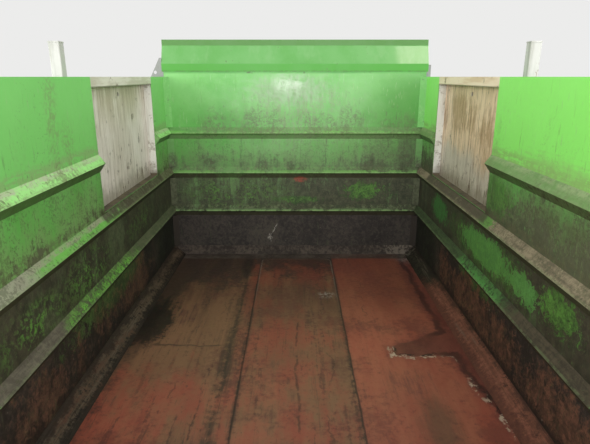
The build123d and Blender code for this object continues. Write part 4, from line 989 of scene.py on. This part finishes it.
# Weld beads on the tub, outside and down the chute
beads = bmesh.new()
for side in SIDES:
    for edge in (RUNNER_X - 0.04, RUNNER_X + 0.04):
        for foot, top in FLAT_SPANS:
            side_bead(beads, side * edge, (SEAM_FRONT, foot), (SEAM_FRONT, top))
    for foot, top in FLAT_SPANS:
        for upright in (FRONT_OUT - RAIL, CHUTE_FOOT + 0.04):
            side_bead(beads, side * SEAM_X, (upright, foot), (upright, top))
    for start, end in (
            ((CHUTE_FOOT - 0.04, 0.27), (CHUTE_FOOT - 0.04, RAIL_FOOT)),
            ((CHUTE_FOOT + 0.04, LOWER_TOP), (FRONT_OUT - RAIL, LOWER_TOP)),
            ((CHUTE_FOOT - 0.06, RAIL_FOOT), (NOTCH_REAR - RAIL, RAIL_FOOT)),
            ((NOTCH_FRONT + RAIL, RAIL_FOOT), (FRONT_OUT - RAIL, RAIL_FOOT)),
            ((CHUTE_FOOT - 0.06, RIM - 0.042), (-1.3935, CHUTE_EDGE + 0.020))):
        side_bead(beads, side * SEAM_X, start, end)
    for jamb in (NOTCH_REAR - RAIL, NOTCH_FRONT + RAIL):
        for foot, top in FLAT_SPANS[2:]:
            side_bead(beads, side * SEAM_X, (jamb, foot), (jamb, top))
    side_bead(beads, side * CHUTE_X, (CHUTE_FOOT, FLOOR + 0.001), (CHUTE_TOP, CHUTE_EDGE + 0.001))
    for start, end in ((0.043, RUNNER_X - 0.04), (RUNNER_X + 0.04, WALL_OUT)):
        bead(beads, (side * start, SEAM_FRONT, RAIL_FOOT), (side * end, SEAM_FRONT, RAIL_FOOT))
    for edge in (0.0335, 0.0735):
        side_bead(beads, side * RAIL_OUT, (edge, 0.1930), (edge, LOWER_TOP - 0.002))
        side_bead(beads, side * RAIL_OUT, (edge, RAIL_FOOT + 0.002), (edge, RIM - 0.002))
    for station in (0.185, 0.683):
        for face in SIDES:
            rib = side * (station + 0.0025 * face)
            side_bead(beads, rib, (FRONT_OUT + 0.004, RIM + 0.070), (FRONT_OUT + 0.038, RIM + 0.070), 0.0026)
bead(beads, (-0.796, CHUTE_FOOT, FLOOR + 0.0012), (0.796, CHUTE_FOOT, FLOOR + 0.0012))
settle(
    "weld_beads_tub", beads, weld_paint("weld_green", (78, 158, 66), (100, 180, 84), (96, 92, 68)), "tub")

# Weld beads of the underframe
beads = bmesh.new()
for side in SIDES:
    for face in SIDES:
        plate_x = side * RUNNER_X + 0.004 * face
        side_bead(beads, plate_x, (HINGE_Y + 0.02, RUNNER_TOP), (CHUTE_FOOT, RUNNER_TOP))
    for station in BEARERS:
        for edge in (station - 0.04, station + 0.04):
            start, end = (Vector((side * (RUNNER_X + 0.03 * face), edge, RUNNER_TOP)) for face in SIDES)
            bead(beads, start, end)
for face in SIDES:
    edge = BEARERS[1] + 0.040 * face
    for x in (-0.0255, -0.0355, 0.0255, 0.0355):
        side_bead(beads, x, (edge, RUNNER_TOP - 0.022), (edge, RUNNER_TOP - 0.001), 0.0024)
settle(
    "weld_beads_underframe", beads, weld_paint("weld_dusty", (82, 128, 66), (98, 120, 76), (92, 78, 58)),
    "tub")

# Weld beads of the subframe
beads = bmesh.new()
for side in SIDES:
    for station in (-1.1885, 0.0535, 0.9635):
        for edge in (station - 0.03, station + 0.03):
            side_bead(beads, side * MEMBER_X, (edge, 0.010), (edge, 0.090), 0.003)
    for station in (-0.9965, 0.0335, 1.0635):
        for edge in (station - 0.05, station + 0.05):
            side_bead(beads, side * FOOT_X, (edge, 0.010), (edge, 0.077), 0.003)
        side_bead(beads, side * FOOT_X, (station - 0.05, 0.078), (station + 0.05, 0.078), 0.003)
settle(
    "weld_beads_subframe", beads, weld_paint("weld_dark", (58, 58, 58), (80, 76, 70), (104, 70, 48)),
    "subframe")

# Bolts and rivets of the hatch hinges, and the slide bolts that hold the leaves shut
zinc = bright_steel()
for side, word in zip(SIDES, ("left", "right")):
    held = bmesh.new()
    out = (side, 0, 0)
    for station in HATCH_STATIONS:
        for along in (-0.014, 0.014):
            for rise in (0.022, 0.046):
                rivet(held, (side * (LEAF_FACE + 0.006), station + along, HATCH_Z + 0.015 + rise), out)
    bolt_x = side * 0.879
    low, high = LATCH_Z - 0.011, LATCH_Z + 0.011
    plate(held, (side * LEAF_FACE, 0.955, low), (side * LATCH_FACE, 1.045, high), 0.001)
    guide = ((0.0042, 0.0), (0.0064, 0.0), (0.0064, 0.012), (0.0042, 0.012))
    for start in (0.962, 1.026):
        turned(held, (bolt_x, start, LATCH_Z), (0, 1, 0), guide, 18)
    tube(held, [(bolt_x, reach, LATCH_Z) for reach in (0.95, 1.088, 1.092)], [0.0042, 0.0042, 0.002], 14)
    tube(held, [(bolt_x, 0.996, LATCH_Z - drop) for drop in (0, 0.016, 0.03)], [0.0034, 0.0034, 0.005], 12)
    for station in (0.982, 1.019):
        for rise in (0.0065, -0.0065):
            rivet(held, (side * LATCH_FACE, station, LATCH_Z + rise), out, 0.003)
    settle(f"slide_bolt_{word}", held, zinc, f"hatch_{word}")

    fixed = bmesh.new()
    for x, rear, front, low, high in (
            (0.884, 1.07, 1.084, -0.0075, -0.0055), (0.884, 1.07, 1.084, 0.0055, 0.0075),
            (0.845, 1.066, 1.088, -0.014, 0.012)):
        plate(fixed, (side * RAIL_OUT, rear, LATCH_Z + low), (side * x, front, LATCH_Z + high), 0.0006)
    washer_and_pin = ((0.0098, 0.0), (0.0098, 0.0014), (0.006, 0.0015), (0.0058, 0.008), (0.0046, 0.0092))
    for station in HATCH_STATIONS:
        for end in SIDES:
            tip = station + 0.0335 * end
            turned(fixed, (side * HATCH_X, tip, HATCH_Z), (0, end, 0), washer_and_pin, 18)
            cotter(fixed, (side * HATCH_X, tip + 0.0052 * end, HATCH_Z), (0, end, 0), 0.0048)
    settle(f"hatch_pin_ends_{word}", fixed, zinc, "tub")

# Hooks for a cover net under the rim rails and behind the top rail
HALF_TURN = [pi * step / 8 for step in range(9)]
hooks = bmesh.new()
for side in SIDES:
    for station in (-0.66, -0.42, -0.18, 1.14, 1.26):
        rear, front = station - 0.012, station + 0.012
        plate(hooks, (side * RAIL_OUT, rear, RIM - 0.034), (side * 0.8455, front, RIM - 0.008), 0.0008)
        reaches = [(0.845, 0.02), (0.856, 0.021)]
        reaches += [(0.859 + 0.0105 * (1 - cos(turn)), 0.033 + 0.0105 * sin(turn)) for turn in HALF_TURN]
        line = [(side * reach, station, RIM - drop) for reach, drop in (*reaches, (0.88, 0.02))]
        tube(hooks, line, [0.0035] * (len(line) - 1) + [0.0026], 10)
    for station in (0.10, 0.52):
        x, face, foot = side * station, FRONT_OUT + RAIL, RIM + 0.02
        plate(hooks, (x - 0.012, face, foot - 0.013), (x + 0.012, face + 0.0025, foot + 0.013), 0.0008)
        line = [(x, face, foot), (x, 1.3735, foot)]
        line += [(x, 1.3745 + 0.008 * (1 - cos(turn)), foot - 0.01 - 0.008 * sin(turn)) for turn in HALF_TURN]
        line.append((x, 1.3905, foot + 0.002))
        tube(hooks, line, [0.0032] * (len(line) - 1) + [0.0024], 10)
settle("net_hooks", hooks, zinc, "tub")

# Caps that close the posts, and amber side reflectors on the lower rails
caps = bmesh.new()
for side in SIDES:
    plate(caps, (side * 0.8415, 0.032, POST_TOP - 0.004), (side * 0.8845, 0.075, POST_TOP + 0.003), 0.0022)
settle("post_caps", caps, posts, "tub")
lenses = bmesh.new()
lens = ((0.024, 0.0), (0.024, 0.004), (0.0215, 0.0052), (0.0205, 0.0044), (0.012, 0.0054), (0.001, 0.0058))
for side in SIDES:
    for station in (-0.45, 0.95):
        turned(lenses, (side * RAIL_OUT, station, 0.2253), (side, 0, 0), lens, 28)
settle("side_reflectors", lenses, amber_lens(), "tub")

# Grease nipples and keeper plates on the hinge pins, pin ends and port cap of the ram
greased = bmesh.new()
nipple = ((0.0055, 0.0), (0.0055, 0.003), (0.0036, 0.0034), (0.003, 0.006), (0.004, 0.0085), (0.002, 0.01))
for side in SIDES:
    turned(greased, (side * 0.417, HINGE_Y, HINGE_Z), (side, 0, 0), nipple, 12)
    plate(greased, (side * 0.413, HINGE_Y - 0.016, 0.09), (side * 0.416, HINGE_Y + 0.016, 0.128), 0.0008)
    bolt(greased, (side * 0.416, HINGE_Y, 0.105), (side, 0, 0), 0.011)
settle("hinge_keepers", greased, zinc, "subframe")

RAM_BASE = Vector((0.0, HINGE_Y + 0.15, HINGE_Z - 0.075))
RAM_EYE = Vector((0.0, BEARERS[1], HINGE_Z))
ram_way = (RAM_EYE - RAM_BASE).normalized()
ram_down = Vector((0.0, ram_way.z, -ram_way.y))
ends = bmesh.new()
for side in SIDES:
    out = Vector((side, 0, 0))
    collar = ((0.021, 0.0), (0.021, 0.002), (0.0145, 0.0022), (0.014, 0.009), (0.012, 0.0105))
    turned(ends, RAM_BASE + out * 0.0355, out, collar, 24)
    cotter(ends, RAM_BASE + out * 0.042, out, 0.01)
settle("ram_base_pin_ends", ends, zinc, "subframe")
gland = bmesh.new()
for along, down, axis, sides, profile in (
        (0.53, 0, ram_way, 32, ((0.0382, 0.0), (0.0395, 0.002), (0.0395, 0.01), (0.0382, 0.012))),
        (0.56, 0, ram_way, 32,
         ((0.0372, -0.001), (0.0372, 0.005), (0.034, 0.008), (0.0206, 0.0085), (0.0204, 0.002))),
        (0.095, 0.05, ram_down, 6, ((0.0105, -0.001), (0.0105, 0.0065), (0.009, 0.008), (0.001, 0.0082))),
        (0.06, 0, ram_way, 32, ((0.0375, -0.0005), (0.0392, 0.002), (0.0392, 0.006), (0.038, 0.009)))):
    turned(gland, RAM_BASE + ram_way * along + ram_down * down, axis, profile, sides)
settle("ram_gland", gland, subframe, "ram_barrel")

# Floor, light and camera

CAMERA = Vector((0.0, -1.8565, RIM))
LOOK_DOWN = 16.2    # degrees
BACKDROP = screen(236, 236, 235)


def fade_far(p):
    """Far from the object the floor takes the backdrop's colour where the camera sees it: no horizon."""
    output = next(node for node in p.tree.nodes if node.type == "OUTPUT_MATERIAL")
    near = output.inputs[0].links[0].from_socket
    glow = p.node("Emission", Color=BACKDROP)
    rays = p.node("LightPath")
    seen = p.most(
        rays.outputs["Is Camera Ray"], rays.outputs["Is Transmission Ray"], rays.outputs["Is Glossy Ray"])
    either = p.node("MixShader")
    p.put(either.inputs[0], seen * p.rise(p.length(p.x, p.y), 2.0, 3.6))
    p.put(either.inputs[1], near)
    p.put(either.inputs[2], glow.outputs[0])
    p.put(output.inputs[0], either.outputs[0])


ground_mesh = bpy.data.meshes.new("ground")
shape = bmesh.new()
bmesh.ops.create_grid(shape, x_segments=8, y_segments=8, size=40)
shape.to_mesh(ground_mesh)
shape.free()
ground = bpy.data.objects.new("ground", ground_mesh)
bpy.context.scene.collection.objects.link(ground)
ground_paint = Paint("ground_pale")
ground_paint.colour = ground_paint.mix((206, 206, 205), (212, 212, 211), ground_paint.noise(0.6, 3, 0.5))
ground_mesh.materials.append(ground_paint.finish(0.8))
fade_far(ground_paint)


def lamp(name, place, target, size, watts, colour=(1, 1, 1)):
    data = bpy.data.lights.new(name, "AREA")
    data.shape = "RECTANGLE"
    data.size, data.size_y = size
    data.energy = watts
    data.color = colour
    item = bpy.data.objects.new(name, data)
    item.location = place
    item.rotation_euler = (Vector(target) - Vector(place)).to_track_quat("-Z", "Y").to_euler()
    bpy.context.scene.collection.objects.link(item)
    return item


lamp("ceiling", (0.0, -0.6, 5.2), (0.0, 0.2, 0.0), (6.0, 6.0), 40)
lamp("fill_from_rear", (0.0, -6.0, 2.2), (0.0, 0.8, 0.9), (6.0, 3.0), 220)
lamp("fill_from_left", (-4.5, -2.2, 2.4), (0.6, 0.2, 1.0), (3.5, 2.5), 170)
lamp("fill_from_right", (4.5, -2.2, 2.4), (-0.6, 0.2, 1.0), (3.5, 2.5), 120)
lamp("glint_headboard", (1.62, -1.33, 4.26), (0.7, 1.345, 1.5), (0.48, 0.6), 9.6, (1.0, 0.82, 0.74))
lamp("glint_front", (-0.088, -2.3, 1.290), (-0.04, FRONT, 1.34), (0.34, 0.12), 2.7, (1.0, 0.88, 0.98))

world = bpy.data.worlds.new("studio")
world.use_nodes = True
bpy.context.scene.world = world
tree = world.node_tree
tree.nodes.clear()
rays = tree.nodes.new("ShaderNodeLightPath")
seen = tree.nodes.new("ShaderNodeMath")
seen.operation = "MAXIMUM"
tree.links.new(rays.outputs["Is Camera Ray"], seen.inputs[0])
tree.links.new(rays.outputs["Is Transmission Ray"], seen.inputs[1])
light, backdrop, either, sky = (tree.nodes.new(kind) for kind in (
    "ShaderNodeBackground", "ShaderNodeBackground", "ShaderNodeMixShader", "ShaderNodeOutputWorld"))
light.inputs["Color"].default_value = (1, 1, 1, 1)
light.inputs["Strength"].default_value = 0.55
backdrop.inputs["Color"].default_value = BACKDROP
backdrop.inputs["Strength"].default_value = 1.0
tree.links.new(seen.outputs[0], either.inputs[0])
tree.links.new(light.outputs[0], either.inputs[1])
tree.links.new(backdrop.outputs[0], either.inputs[2])
tree.links.new(either.outputs[0], sky.inputs[0])

camera_data = bpy.data.cameras.new("camera")
camera_data.sensor_width = 36.0
camera_data.lens = 30.5
camera_data.clip_start = 0.01
camera = bpy.data.objects.new("camera", camera_data)
camera.location = CAMERA
camera.rotation_euler = (radians(90 - LOOK_DOWN), 0, 0)
bpy.context.scene.collection.objects.link(camera)
bpy.context.scene.camera = camera
bpy.context.scene.view_settings.view_transform = "Standard"
